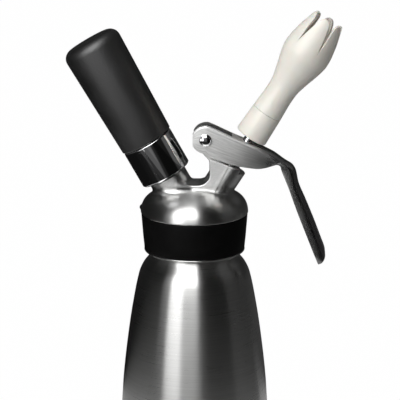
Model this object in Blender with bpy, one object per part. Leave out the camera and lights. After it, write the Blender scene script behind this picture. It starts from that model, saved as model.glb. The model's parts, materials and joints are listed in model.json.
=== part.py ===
# Whipped cream dispenser: a steel bottle, a cast head that screws onto its neck, a charger
# holder leaning to the left and a lever that presses the valve under the tulip tip.
# Metres, +Z up. The bottle stands on z = 0 with its axis on Z, and the lever points to +X.

import math

import bmesh
import bpy
from mathutils import Matrix

MM = 0.001

# Common values
GAP = 0.3 * MM
OVERRUN = 3.0 * MM
WELD = 0.001 * MM
RIDGE_SINK = 0.3 * MM
BIG_SIDES = 40
MID_SIDES = 24
SMALL_SIDES = 16
ARC_STEPS = 4
FADE_STEPS = 4
WIRE_SECTION = 6
SHARP_ANGLE = math.radians(32)

# Collar: the dome's radius sets the skirt under it, the neck inside and what lies between
DOME_R = 29.2 * MM
DOME_OVERHANG = 3.6 * MM
SKIRT_WALL = 1.6 * MM
RIM_OUT = 1.0 * MM
NECK_RIDGE_HEIGHT = 0.9 * MM
NECK_THREAD_ROOM = 0.5 * MM
GASKET_SIDE = 0.4 * MM
GASKET_REACH = 2.0 * MM
SKIRT_R = DOME_R - DOME_OVERHANG
SKIRT_BORE_R = SKIRT_R - SKIRT_WALL
RIM_R = SKIRT_R + RIM_OUT
NECK_R = SKIRT_BORE_R - NECK_RIDGE_HEIGHT - NECK_THREAD_ROOM
GASKET_OUT_R = SKIRT_BORE_R - GASKET_SIDE
GASKET_IN_R = NECK_R - GASKET_REACH
CAVITY_R = GASKET_IN_R - GAP

# Bottle
BOTTLE_R = 41.25 * MM
BOTTLE_WALL = 1.0 * MM
BASE_WALL = 1.6 * MM
BASE_CORNER_R = 6.0 * MM
BASE_GROOVE_R = 27.0 * MM
BASE_GROOVE_WIDTH = 5.0 * MM
BASE_GROOVE_DEPTH = 0.8 * MM
STRAIGHT_HEIGHT = 45.0 * MM
SHOULDER_HEIGHT = 107.6 * MM
SHOULDER_SHARES = (
    (1.0, 0.0), (0.987, 0.093), (0.944, 0.219), (0.905, 0.31), (0.847, 0.408), (0.756, 0.533),
    (0.649, 0.658), (0.520, 0.783), (0.440, 0.847), (0.399, 0.878), (0.338, 0.909),
    (0.231, 0.940), (0.161, 0.972), (0.086, 0.992), (0.0, 1.0),
)
NECK_WALL = 1.4 * MM
NECK_HEIGHT = 13.4 * MM
NECK_ROOT_Z = STRAIGHT_HEIGHT + SHOULDER_HEIGHT
LIP_Z = NECK_ROOT_Z + NECK_HEIGHT
LIP_CHAMFER = 0.3 * MM

# Neck thread, outside on the neck and inside the head's skirt
NECK_PITCH = 4.0 * MM
NECK_TURNS = 2.0
NECK_RIDGE_ROOT = 1.4 * MM
NECK_RIDGE_CREST = 0.7 * MM
NECK_THREAD_DROP = 9.0 * MM

# Head gasket
GASKET_THICK = 2.5 * MM

# Head casting
RIM_LIFT = 0.7 * MM
RIM_THICK = 0.9 * MM
SEAT_Z = LIP_Z + GASKET_THICK + 2 * GAP
CAVITY_DEPTH = 7.4 * MM
CEILING_Z = SEAT_Z + CAVITY_DEPTH
DOME_SKIRT_RISE = 3.2 * MM
DOME_BASE_Z = SEAT_Z + DOME_SKIRT_RISE
DOME_HEIGHT = 14.7 * MM
DOME_SHARES = (
    (1.0, 0.0), (1.0, 0.218), (0.986, 0.381), (0.938, 0.537), (0.863, 0.673), (0.774, 0.776),
    (0.616, 0.878), (0.411, 0.952), (0.205, 0.986), (0.0, 1.0),
)
NUB_OUT = 0.7 * MM
NUB_R = 2.2 * MM
NUB_HALF_WIDTH = 2.8 * MM
NUB_HALF_HEIGHT = 1.7 * MM
NUB_RISE = 2.1 * MM
NUB_SIDES = 24

# Grip band
BAND_WALL_BOTTOM = 1.2 * MM
BAND_INSET = 0.5 * MM
BAND_CORNER_R = 0.9 * MM

# Charger side, on an axis that leans to the left and starts at the cavity's ceiling
CHARGER_LEAN = math.radians(-29.5)
CHARGER_X = -5.9 * MM
CHARGER_BOSS_R = 10.6 * MM
CHARGER_BOSS_TOP = 18.0 * MM
BOSS_ROOT = 2.0 * MM
BOSS_CHAMFER = 0.7 * MM
SPIGOT_R = 5.0 * MM
SPIGOT_LENGTH = 8.3 * MM
ADAPTER_R = 9.6 * MM
ADAPTER_LENGTH = 12.7 * MM
ADAPTER_CHAMFER = 0.5 * MM
GAS_BORE_R = 1.2 * MM
PIN_BORE_R = 2.2 * MM
PIN_BORE_DEPTH = 4.2 * MM
CHARGER_NECK_BORE_R = 4.4 * MM
CHARGER_NECK_BORE_DEPTH = 8.0 * MM
CHARGER_PITCH = 2.5 * MM
CHARGER_TURNS = 2.5
CHARGER_RIDGE_HEIGHT = 0.7 * MM
CHARGER_RIDGE_ROOT = 1.0 * MM
CHARGER_RIDGE_CREST = 0.5 * MM
CHARGER_THREAD_RISE = 3.2 * MM
CHARGER_THREAD_ROOM = 0.5 * MM
CHARGER_RIDGE_EXTRA = 0.1 * MM

# Piercing pin and charger seal
NEEDLE_R = 0.9 * MM
NEEDLE_BORE_R = 0.4 * MM
NEEDLE_LENGTH = 4.1 * MM
NEEDLE_POINT = 0.8 * MM
NEEDLE_POINT_WALL = 0.2 * MM
SEAL_THICK = 1.0 * MM
SEAL_IN_R = 1.3 * MM

# Cartridge
CARTRIDGE_R = 9.3 * MM
CARTRIDGE_LENGTH = 65.7 * MM
CARTRIDGE_WALL = 1.2 * MM
CARTRIDGE_NECK_R = 3.9 * MM
CARTRIDGE_NECK_LENGTH = 7.0 * MM
CARTRIDGE_SHOULDER = 7.0 * MM
CARTRIDGE_END = 8.0 * MM
PIERCED_R = 1.3 * MM
CARTRIDGE_LIP_CHAMFER = 0.4 * MM

# Holder tube, ring and sleeve
TUBE_WALL = 1.4 * MM
TUBE_END_WALL = 1.8 * MM
TUBE_CLEAR = 0.5 * MM
TUBE_CORNER = 1.2 * MM
RING_LIFT = 0.84 * MM
RING_LENGTH = 21.3 * MM
RING_R = 14.1 * MM
RING_LIP = 0.86 * MM
RING_CHAMFER = 0.7 * MM
SLEEVE_R = 14.5 * MM
SLEEVE_END_R = 16.25 * MM
SLEEVE_LENGTH = 62.4 * MM
SLEEVE_EDGE_R = 5.5 * MM
SLEEVE_LIP = 0.5 * MM
SLEEVE_CROWN = 0.6 * MM
SLEEVE_EDGE_DEGREES = 84

# Gas diffuser cup and check valve under the ceiling
DIFFUSER_R = 4.6 * MM
DIFFUSER_WALL = 0.6 * MM
DIFFUSER_FLOOR = 0.8 * MM
DIFFUSER_HEIGHT = 3.6 * MM
DIFFUSER_HOLE_R = 0.8 * MM
DIFFUSER_RECESS = 2.0 * MM
CHECK_VALVE_THICK = 1.2 * MM
CHECK_VALVE_ROOM = 0.4 * MM

# Valve side, on an axis that leans to the right and starts at the cavity's ceiling
VALVE_LEAN = math.radians(32.5)
VALVE_X = 6.2 * MM
VALVE_BOSS_R = 8.7 * MM
VALVE_BOSS_TOP = 30.0 * MM
SEAT_BOSS_R = 6.0 * MM
SEAT_BOSS_DROP = 3.0 * MM
SEAT_BOSS_ROOT = 5.0 * MM
SEAT_BORE_R = 3.6 * MM
CHAMBER_R = 5.6 * MM
CHAMBER_FLOOR = 8.0 * MM
CHAMBER_END = 31.0 * MM

# Lug under the lever, its tongue and the channel that the lever's cheeks sink into
LUG_HALF = 8.5 * MM
LUG_LEFT_X = 8.6 * MM
LUG_FILLET_R = 6.5 * MM
LUG_TOP_X = 29.0 * MM
LUG_TOP_RISE = 19.4 * MM
LUG_TOP_Z = CEILING_Z + LUG_TOP_RISE
LUG_TOP_SLOPE = 0.3833
WEB_RISE = 1.8 * MM
WEB_LEFT_X = -9.0 * MM
WEB_ROOT = 6.0 * MM
CHANNEL_DEPTH = 2.5 * MM
CHANNEL_SIDE = 0.5 * MM
PIVOT_X = 6.25 * MM
PIVOT_RISE = 36.9 * MM
PIVOT_Z = CEILING_Z + PIVOT_RISE
TONGUE_R = 6.6 * MM
TONGUE_SIDE = 0.4 * MM
TONGUE_FOOT = 5.4 * MM
TONGUE_FOOT_RISE = 24.4 * MM
TONGUE_FOOT_Z = CEILING_Z + TONGUE_FOOT_RISE
TONGUE_ROOT = 5.0 * MM

# Valve stem, its guide, spring, seal and nut
STEM_R = 2.9 * MM
STEM_LOW_R = 2.6 * MM
STEM_BORE_R = 1.3 * MM
STEM_BORE_START = 2.0 * MM
STEM_TOP = 55.5 * MM
STEM_COLLAR_R = 3.9 * MM
STEM_COLLAR_TOP = 38.2 * MM
STEM_COLLAR_THICK = 1.6 * MM
STEM_FLANGE_R = 4.8 * MM
STEM_FLANGE_THICK = 1.5 * MM
STEM_FLANGE_ROOM = 0.5 * MM
STEM_TAIL_R = 1.4 * MM
STEM_CROSS_R = 1.1 * MM
STEM_CROSS_U = 4.0 * MM
GUIDE_TOP = 23.0 * MM
GUIDE_LENGTH = 3.3 * MM
O_RING_WIRE_R = 0.45 * MM
SPRING_WIRE_R = 0.4 * MM
SPRING_R = 4.2 * MM
SPRING_TURNS = 4.0
SPRING_STEPS = 14
VALVE_SEAL_R = 5.0 * MM
VALVE_SEAL_THICK = 1.8 * MM
SEAL_NUT_R = 3.6 * MM
SEAL_NUT_THICK = 2.6 * MM

# Tip base and tulip nozzle
TIP_BASE_LIFT = 44.9 * MM
TIP_BASE_R = 8.9 * MM
TIP_BASE_LENGTH = 15.65 * MM
TIP_BASE_EDGE = 0.9 * MM
TIP_SEAM_R = 8.35 * MM
TIP_SEAM_CHAMFER = 0.25 * MM
TIP_PITCH = 2.0 * MM
TIP_TURNS = 2.5
TIP_RIDGE_HEIGHT = 0.5 * MM
TIP_RIDGE_ROOT = 0.8 * MM
TIP_RIDGE_CREST = 0.4 * MM
TIP_THREAD_RISE = 2.1 * MM
STEM_CORE_R = 2.4 * MM
TIP_BORE_R = 3.2 * MM
WASHER_THICK = 1.0 * MM
WASHER_IN_R = 1.5 * MM
CREAM_BORE_R = 2.2 * MM
TIP_SPIGOT_R = 6.3 * MM
TIP_SPIGOT_LENGTH = 8.2 * MM
TIP_GROOVE_R = 5.0 * MM
TIP_GROOVE_WIDTH = 1.8 * MM
TIP_GROOVE_LIFT = 3.0 * MM
TIP_O_RING_WIRE_R = 0.5 * MM
NOZZLE_LENGTH = 59.4 * MM
NOZZLE_R = 12.9 * MM
NOZZLE_WALL = 1.6 * MM
NOZZLE_THROAT_STEP = 2.0 * MM
NOZZLE_SHARES = (
    (0.647, 0.0), (0.628, 0.066), (0.601, 0.177), (0.604, 0.23), (0.620, 0.286), (0.698, 0.362),
    (0.791, 0.436), (0.895, 0.512), (0.972, 0.585), (1.0, 0.625), (0.988, 0.694),
    (0.934, 0.768), (0.860, 0.845), (0.767, 0.916), (0.667, 1.0),
)
PETALS = 6
SLOT_ANGLE = math.radians(19)
SLOT_LENGTH = 16.6 * MM
SLOT_END_WIDTH = 4.6 * MM
SLOT_FOOT_WIDTH = 0.5 * MM
PETAL_ROUND = 3.0 * MM

# Lever: a pressed channel, its nose round the pivot, with a fork in front of its plate
LEVER_HALF = 6.1 * MM
LEVER_SHEET = 1.9 * MM
LEVER_NOSE_R = 7.6 * MM
LEVER_REACH = 46.0 * MM
LEVER_STATIONS_SHARES = (
    (0.032, 0.162, 0.036, -0.204), (0.141, 0.115, 0.121, -0.237), (0.228, 0.074, 0.213, -0.267),
    (0.308, 0.037, 0.301, -0.291), (0.446, -0.020, 0.402, -0.315), (0.608, -0.083, 0.525, -0.333),
    (0.704, -0.128, 0.621, -0.339), (0.797, -0.174, 0.703, -0.326), (0.877, -0.228, 0.774, -0.304),
    (0.936, -0.270, 0.824, -0.287), (1.001, -0.307, 0.857, -0.296), (1.035, -0.348, 0.874, -0.317),
    (1.058, -0.400, 0.889, -0.370),
)
LEVER_CORNER_SHARES = (
    0.20, 0.20, 0.20, 0.20, 0.20, 0.25, 0.30, 0.38, 0.50, 0.56, 0.58, 0.60, 0.62,
)
LEVER_CORNER_R = 6.5 * MM
TAIL_LEAN = math.radians(21.9)
TAIL_LENGTH = 55.9 * MM
TAIL_DEPTH = 6.15 * MM
TAIL_HALF_END = 8.4 * MM
TAIL_STATIONS_SHARES = (
    (0.215, 0.06, 0.175, 0.93, 0.30), (0.36, 0.02, 0.32, 0.97, 0.50), (0.505, 0.0, 0.47, 1.0, 0.68),
    (0.65, 0.0, 0.62, 1.0, 0.85), (0.79, 0.03, 0.77, 1.0, 0.97), (0.88, 0.04, 0.865, 1.0, 1.0),
    (0.93, 0.10, 0.915, 1.0, 0.94), (0.965, 0.24, 0.955, 1.0, 0.78), (0.988, 0.44, 0.98, 1.0, 0.58),
    (1.0, 0.62, 0.997, 1.0, 0.36),
)
CORNER_MOST_SHARE = 0.333
SHEET_MOST_SHARE = 0.7
INNER_CORNER_SHARE = 0.125
INNER_MOST_SHARE = 0.9
FORK_END_X = 14.0 * MM
FORK_EASE = 0.05 * MM
STEM_SLOT_ROOM = 0.4 * MM
STEM_SLOT_TRAVEL = 2.2 * MM
STEM_SLOT_LENGTH = 12.0 * MM
SLOT_END_DEGREES = (-90, 90)
HALF_TURN_DEGREES = 180
CORNER_STEPS = 2
NOSE_STEPS = 5
NOSE_START = math.radians(25)

# Pivot pin and its clip
PIVOT_PIN_R = 1.9 * MM
PIVOT_HEAD_R = 3.35 * MM
PIVOT_HEAD_THICK = 1.5 * MM
PIVOT_END = 0.7 * MM
CLIP_GROOVE_R = 1.3 * MM
CLIP_THICK = 0.6 * MM
CLIP_R = 3.3 * MM

# Heights along the two leaning axes that several pieces share
ADAPTER_U = CHARGER_BOSS_TOP + GAP
ADAPTER_TOP = ADAPTER_U + ADAPTER_LENGTH
NECK_BORE_FLOOR = ADAPTER_TOP - CHARGER_NECK_BORE_DEPTH
PIN_BORE_FLOOR = NECK_BORE_FLOOR - PIN_BORE_DEPTH
CARTRIDGE_U = NECK_BORE_FLOOR + SEAL_THICK + 2 * GAP
CARTRIDGE_TOP = CARTRIDGE_U + CARTRIDGE_LENGTH
CHARGER_THREAD_U = ADAPTER_U + CHARGER_THREAD_RISE
RING_U = CHARGER_BOSS_TOP + RING_LIFT
RING_TOP = RING_U + RING_LENGTH
TUBE_U = RING_U + RING_LIP + GAP
TUBE_BORE_R = ADAPTER_R + CHARGER_RIDGE_HEIGHT + CHARGER_THREAD_ROOM
TUBE_FOOT_R = TUBE_BORE_R + TUBE_WALL
TUBE_IN_R = CARTRIDGE_R + TUBE_CLEAR
TUBE_R = TUBE_IN_R + TUBE_WALL
TUBE_TOP = CARTRIDGE_TOP + GAP + TUBE_END_WALL
SLEEVE_U = RING_TOP + GAP
WEB_TOP_Z = DOME_BASE_Z + DOME_HEIGHT + WEB_RISE
GUIDE_U = GUIDE_TOP - GUIDE_LENGTH
FLANGE_TOP = GUIDE_U - STEM_FLANGE_ROOM
FLANGE_U = FLANGE_TOP - STEM_FLANGE_THICK
NOZZLE_U = TIP_BASE_LIFT + TIP_BASE_LENGTH + GAP
WASHER_U = STEM_TOP + GAP
TIP_BORE_TOP = WASHER_U + WASHER_THICK + GAP
TIP_SPIGOT_TOP = TIP_BASE_LIFT + TIP_BASE_LENGTH + TIP_SPIGOT_LENGTH
TIP_GROOVE_U = TIP_BASE_LIFT + TIP_BASE_LENGTH + TIP_GROOVE_LIFT
STEM_THREAD_U = TIP_BASE_LIFT + TIP_THREAD_RISE

# Colours, roughness and metallic values
LOOKS = {
    "brushed_steel": ((0.62, 0.62, 0.61), 0.30, 1.0),
    "cast_steel": ((0.60, 0.60, 0.59), 0.38, 1.0),
    "chrome": ((0.80, 0.80, 0.81), 0.05, 1.0),
    "black_rubber": ((0.018, 0.018, 0.019), 0.72, 0.0),
    "ivory_plastic": ((0.80, 0.78, 0.72), 0.38, 0.0),
    "white_nylon": ((0.85, 0.85, 0.83), 0.45, 0.0),
    "seal_rubber": ((0.42, 0.05, 0.04), 0.60, 0.0),
    "plated_steel": ((0.70, 0.70, 0.68), 0.25, 1.0),
}


def clear_scene():
    for item in list(bpy.data.objects):
        bpy.data.objects.remove(item, do_unlink=True)


def make_materials():
    made = {}
    for name, (colour, roughness, metallic) in LOOKS.items():
        material = bpy.data.materials.new(name)
        material.use_nodes = True
        shader = material.node_tree.nodes["Principled BSDF"]
        shader.inputs["Base Color"].default_value = (*colour, 1.0)
        shader.inputs["Roughness"].default_value = roughness
        shader.inputs["Metallic"].default_value = metallic
        material.diffuse_color = (*colour, 1.0)
        made[name] = material
    return made


def add_empty(name, location, lean):
    empty = bpy.data.objects.new(name, None)
    empty.location = location
    empty.rotation_euler = (0, lean, 0)
    bpy.context.scene.collection.objects.link(empty)
    return empty


def add_object(name, solid, material=None, parent=None):
    """Turn a bmesh into an object whose origin is its parent's, or the world's."""
    bmesh.ops.remove_doubles(solid, verts=solid.verts, dist=WELD)
    bmesh.ops.recalc_face_normals(solid, faces=solid.faces)
    mesh = bpy.data.meshes.new(name)
    solid.to_mesh(mesh)
    solid.free()
    item = bpy.data.objects.new(name, mesh)
    if material:
        mesh.materials.append(material)
    item.parent = parent
    bpy.context.scene.collection.objects.link(item)
    shade(mesh)
    return item


def shade(mesh):
    mesh.shade_smooth()
    mesh.set_sharp_from_angle(angle=SHARP_ANGLE)


def combine(body, tools, operation):
    """Join the tools to the body or cut them from it, and keep the result as its mesh."""
    for tool in tools:
        modifier = body.modifiers.new(tool.name, "BOOLEAN")
        modifier.operation = operation
        modifier.solver = "EXACT"
        modifier.object = tool
    graph = bpy.context.evaluated_depsgraph_get()
    mesh = bpy.data.meshes.new_from_object(body.evaluated_get(graph))
    body.modifiers.clear()
    body.data = mesh
    mesh.name = body.name
    shade(mesh)
    for tool in tools:
        bpy.data.objects.remove(tool, do_unlink=True)


def arc(centre, radius, start, end, steps=ARC_STEPS):
    """Points on an arc in the outline's plane, angles in degrees from its first axis."""
    points = []
    for step in range(steps + 1):
        angle = math.radians(start + (end - start) * step / steps)
        points.append((centre[0] + radius * math.cos(angle), centre[1] + radius * math.sin(angle)))
    return points


def turned(outline, sides):
    """Spin a closed outline of (radius, height) points round the z axis."""
    solid = bmesh.new()
    points = [solid.verts.new((radius, 0, height)) for radius, height in outline]
    edges = []
    for first, second in zip(points, points[1:] + points[:1]):
        if first.co.x > 0 or second.co.x > 0:
            edges.append(solid.edges.new((first, second)))
    bmesh.ops.spin(solid, geom=points + edges, cent=(0, 0, 0), axis=(0, 0, 1),
                   angle=math.tau, steps=sides, use_merge=True)
    return solid


def rod(radius, bottom, top, sides=SMALL_SIDES):
    return turned([(0, bottom), (radius, bottom), (radius, top), (0, top)], sides)


def tube(inner, outer, bottom, top, sides=SMALL_SIDES):
    return turned([(inner, bottom), (outer, bottom), (outer, top), (inner, top)], sides)


def torus(radius, wire_r, height, sides=SMALL_SIDES):
    return turned(arc((radius, height), wire_r, 0, 360, steps=WIRE_SECTION)[:-1], sides)


def prism(outline, near, far):
    """Extrude a closed outline of (x, z) points from y = near to y = far."""
    solid = bmesh.new()
    face = solid.faces.new([solid.verts.new((x, near, z)) for x, z in outline])
    grown = bmesh.ops.extrude_face_region(solid, geom=[face])["geom"]
    moved = [part for part in grown if isinstance(part, bmesh.types.BMVert)]
    bmesh.ops.translate(solid, verts=moved, vec=(0, far - near, 0))
    return solid


def loft(rings):
    """Bridge closed rings of points that have the same count, and cap both ends."""
    solid = bmesh.new()
    loops = [[solid.verts.new(point) for point in ring] for ring in rings]
    for lower, upper in zip(loops, loops[1:]):
        for index, corner in enumerate(lower):
            following = (index + 1) % len(lower)
            solid.faces.new((corner, lower[following], upper[following], upper[index]))
    solid.faces.new(loops[0])
    solid.faces.new(loops[-1])
    return solid


def thread_ridge(wall_r, height, root_width, crest_width, pitch, turns, start, sides):
    """A right-hand ridge on a wall: outward for a height above zero, inward below it."""
    sunk_r = wall_r - math.copysign(RIDGE_SINK, height)
    count = round(turns * sides)
    rings = []
    for step in range(count + 1):
        angle = math.tau * step / sides
        middle = start + pitch * step / sides
        fade = min(1.0, (step + 1) / FADE_STEPS, (count + 1 - step) / FADE_STEPS)
        crest_r = wall_r + height * fade
        section = (
            (sunk_r, -root_width / 2), (crest_r, -crest_width / 2),
            (crest_r, crest_width / 2), (sunk_r, root_width / 2),
        )
        rings.append([
            (radius * math.cos(angle), radius * math.sin(angle), middle + rise)
            for radius, rise in section
        ])
    return loft(rings)


def coil(radius, wire_r, bottom, top, turns):
    """A round wire wound into an open coil between two heights."""
    count = round(turns * SPRING_STEPS)
    rings = []
    for step in range(count + 1):
        angle = math.tau * step / SPRING_STEPS
        middle = bottom + (top - bottom) * step / count
        ring = []
        for corner in range(WIRE_SECTION):
            around = math.tau * corner / WIRE_SECTION
            reach = radius + wire_r * math.cos(around)
            rise = middle + wire_r * math.sin(around)
            ring.append((reach * math.cos(angle), reach * math.sin(angle), rise))
        rings.append(ring)
    return loft(rings)


def shoulder_outline(inset=0, pick=1):
    """The bottle's shoulder from the straight wall up to the neck, or its inner face."""
    spread = BOTTLE_R - NECK_R
    return [
        (NECK_R + spread * across - inset, STRAIGHT_HEIGHT + SHOULDER_HEIGHT * up - inset / 2)
        for across, up in SHOULDER_SHARES[::pick]
    ]


def make_bottle(looks):
    groove_out = BASE_GROOVE_R + BASE_GROOVE_WIDTH
    outside = [(0, 0), (BASE_GROOVE_R, 0)]
    outside.append((BASE_GROOVE_R + BASE_GROOVE_DEPTH, BASE_GROOVE_DEPTH))
    outside.append((groove_out - BASE_GROOVE_DEPTH, BASE_GROOVE_DEPTH))
    outside.append((groove_out, 0))
    outside += arc((BOTTLE_R - BASE_CORNER_R, BASE_CORNER_R), BASE_CORNER_R, -90, 0)
    outside += shoulder_outline()
    outside.append((NECK_R, LIP_Z - LIP_CHAMFER))
    outside.append((NECK_R - LIP_CHAMFER, LIP_Z))
    inner_corner = BASE_CORNER_R - BOTTLE_WALL
    floor = BASE_GROOVE_DEPTH + BASE_WALL
    inside = [(0, floor)]
    inside += arc((BOTTLE_R - BASE_CORNER_R, floor + inner_corner), inner_corner, -90, 0)
    inside += shoulder_outline(BOTTLE_WALL, pick=2)[:-1]
    inside.append((NECK_R - NECK_WALL, NECK_ROOT_Z - BOTTLE_WALL / 2))
    inside.append((NECK_R - NECK_WALL, LIP_Z - LIP_CHAMFER))
    inside.append((NECK_R - NECK_WALL + LIP_CHAMFER, LIP_Z))
    bottle = add_object("bottle", turned(outside + inside[::-1], BIG_SIDES), looks["brushed_steel"])
    ridge = thread_ridge(NECK_R, NECK_RIDGE_HEIGHT, NECK_RIDGE_ROOT, NECK_RIDGE_CREST,
                         NECK_PITCH, NECK_TURNS, LIP_Z - NECK_THREAD_DROP, BIG_SIDES)
    combine(bottle, [add_object("neck_ridge", ridge)], "UNION")
    return bottle


def make_gasket(looks):
    bottom = LIP_Z + GAP
    solid = tube(GASKET_IN_R, GASKET_OUT_R, bottom, bottom + GASKET_THICK, BIG_SIDES)
    return add_object("head_gasket", solid, looks["seal_rubber"])


def dome_outline():
    rim_z = NECK_ROOT_Z + RIM_LIFT
    outline = [
        (SKIRT_BORE_R, rim_z), (RIM_R, rim_z), (RIM_R, rim_z + RIM_THICK),
        (SKIRT_R, rim_z + RIM_THICK), (SKIRT_R, DOME_BASE_Z),
    ]
    outline += [(DOME_R * out, DOME_BASE_Z + DOME_HEIGHT * up) for out, up in DOME_SHARES]
    outline += [(0, CEILING_Z), (CAVITY_R, CEILING_Z), (CAVITY_R, SEAT_Z), (SKIRT_BORE_R, SEAT_Z)]
    return outline


def lug_top(x, drop=0):
    """Height of the sloping top of the lug, or of the channel floor that lies lower."""
    return LUG_TOP_Z + (LUG_TOP_X - x) * LUG_TOP_SLOPE - drop


def valve_axis_x(z):
    return VALVE_X + (z - CEILING_Z) * math.tan(VALVE_LEAN)


def lug_outline():
    """The web over the dome and the lug that rises from it to the valve's axis."""
    foot_z = WEB_TOP_Z - WEB_ROOT
    corner = (LUG_LEFT_X - LUG_FILLET_R, WEB_TOP_Z + LUG_FILLET_R)
    lean = math.tan(VALVE_LEAN)
    top_x = (VALVE_X + (lug_top(0) - CEILING_Z) * lean) / (1 + LUG_TOP_SLOPE * lean)
    outline = [(WEB_LEFT_X, foot_z), (WEB_LEFT_X, WEB_TOP_Z)]
    outline += arc(corner, LUG_FILLET_R, -90, 0)
    outline += [(LUG_LEFT_X, lug_top(LUG_LEFT_X)), (top_x, lug_top(top_x))]
    outline.append((valve_axis_x(foot_z), foot_z))
    return outline


def tongue_outline():
    """A round nose about the pivot, with straight sides down to its foot on the lug."""
    feet = ((LUG_LEFT_X, TONGUE_FOOT_Z), (LUG_LEFT_X + TONGUE_FOOT, TONGUE_FOOT_Z))
    angles = []
    for (foot_x, foot_z), side in zip(feet, (-1, 1)):
        across, down = foot_x - PIVOT_X, foot_z - PIVOT_Z
        spread = math.acos(TONGUE_R / math.hypot(across, down))
        angles.append(math.degrees(math.atan2(down, across) + side * spread))
    nose = arc((PIVOT_X, PIVOT_Z), TONGUE_R, angles[1], angles[0] + 360, steps=2 * ARC_STEPS)
    left, right = feet
    return nose + [left, (left[0], left[1] - TONGUE_ROOT), (right[0], right[1] - TONGUE_ROOT), right]


def above_lug(drop=0):
    """Outline of the space over the lug's sloping top, for cutting."""
    left, right = -DOME_R, 2 * DOME_R
    roof = PIVOT_Z + TONGUE_R + OVERRUN
    return [(left, lug_top(left, drop)), (right, lug_top(right, drop)), (right, roof), (left, roof)]


def bore(name, radius, bottom, top, parent=None):
    return add_object(name, rod(radius, bottom, top), parent=parent)


def make_head(looks, charger_axis, valve_axis):
    boss = add_object("valve_boss", rod(VALVE_BOSS_R, BOSS_ROOT, VALVE_BOSS_TOP, MID_SIDES),
                      parent=valve_axis)
    lug = add_object("lug", prism(lug_outline(), -LUG_HALF, LUG_HALF))
    combine(lug, [boss], "UNION")
    side = LUG_HALF + OVERRUN
    channel_half = LEVER_HALF + CHANNEL_SIDE
    over = add_object("over", prism(above_lug(), -side, side))
    channel = add_object("channel", prism(above_lug(CHANNEL_DEPTH), -channel_half, channel_half))
    combine(lug, [over, channel], "DIFFERENCE")

    tongue_half = LEVER_HALF - LEVER_SHEET - TONGUE_SIDE
    tongue = add_object("tongue", prism(tongue_outline(), -tongue_half, tongue_half))
    charger_boss = add_object("charger_boss", turned([
        (0, BOSS_ROOT), (CHARGER_BOSS_R, BOSS_ROOT),
        (CHARGER_BOSS_R, CHARGER_BOSS_TOP - BOSS_CHAMFER),
        (CHARGER_BOSS_R - BOSS_CHAMFER, CHARGER_BOSS_TOP), (0, CHARGER_BOSS_TOP),
    ], MID_SIDES), parent=charger_axis)
    seat_boss = add_object("seat_boss", rod(SEAT_BOSS_R, -SEAT_BOSS_DROP, SEAT_BOSS_ROOT),
                           parent=valve_axis)
    nub = bmesh.new()
    place = Matrix.Translation((-DOME_R - NUB_OUT + NUB_R, 0, DOME_BASE_Z + NUB_RISE))
    size = Matrix.Diagonal((NUB_R, NUB_HALF_WIDTH, NUB_HALF_HEIGHT, 1))
    bmesh.ops.create_uvsphere(nub, u_segments=NUB_SIDES, v_segments=NUB_SIDES // 2, radius=1,
                              matrix=place @ size)
    ridge = thread_ridge(SKIRT_BORE_R, -NECK_RIDGE_HEIGHT, NECK_RIDGE_ROOT, NECK_RIDGE_CREST,
                         NECK_PITCH, NECK_TURNS,
                         LIP_Z - NECK_THREAD_DROP - NECK_PITCH / 2, BIG_SIDES)
    head = add_object("head_casting", turned(dome_outline(), BIG_SIDES), looks["cast_steel"])
    joined = [lug, tongue, charger_boss, seat_boss, add_object("nub", nub),
              add_object("skirt_ridge", ridge)]
    combine(head, joined, "UNION")

    recess = bore("recess", DIFFUSER_R + GAP, CEILING_Z - OVERRUN, CEILING_Z + DIFFUSER_RECESS)
    recess.location.x = CHARGER_X
    pivot_hole = bore("pivot_hole", PIVOT_PIN_R + GAP, -side, side)
    pivot_hole.location = (PIVOT_X, 0, PIVOT_Z)
    pivot_hole.rotation_euler = (math.pi / 2, 0, 0)
    gas_start = DIFFUSER_RECESS / 2
    cutters = [
        recess, pivot_hole,
        bore("gas_bore", GAS_BORE_R, gas_start, CHARGER_BOSS_TOP, charger_axis),
        bore("spigot_bore", SPIGOT_R + GAP, CHARGER_BOSS_TOP - SPIGOT_LENGTH,
             CHARGER_BOSS_TOP + OVERRUN, charger_axis),
        bore("seat_bore", SEAT_BORE_R, -SEAT_BOSS_DROP - OVERRUN, CHAMBER_FLOOR + OVERRUN,
             valve_axis),
        bore("chamber", CHAMBER_R, CHAMBER_FLOOR, CHAMBER_END, valve_axis),
    ]
    combine(head, cutters, "DIFFERENCE")
    return head


def make_grip_band(looks):
    bottom = NECK_ROOT_Z + RIM_LIFT + RIM_THICK + GAP
    top = DOME_BASE_Z - GAP
    inner = SKIRT_R + GAP
    low_r, top_r = inner + BAND_WALL_BOTTOM, DOME_R - BAND_INSET
    outline = [(inner, bottom)]
    outline += arc((low_r - BAND_CORNER_R, bottom + BAND_CORNER_R), BAND_CORNER_R, -90, 0)
    outline += [(top_r, top - BAND_CORNER_R / 2), (top_r - BAND_CORNER_R / 2, top), (inner, top)]
    return add_object("grip_band", turned(outline, BIG_SIDES), looks["black_rubber"])


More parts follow.
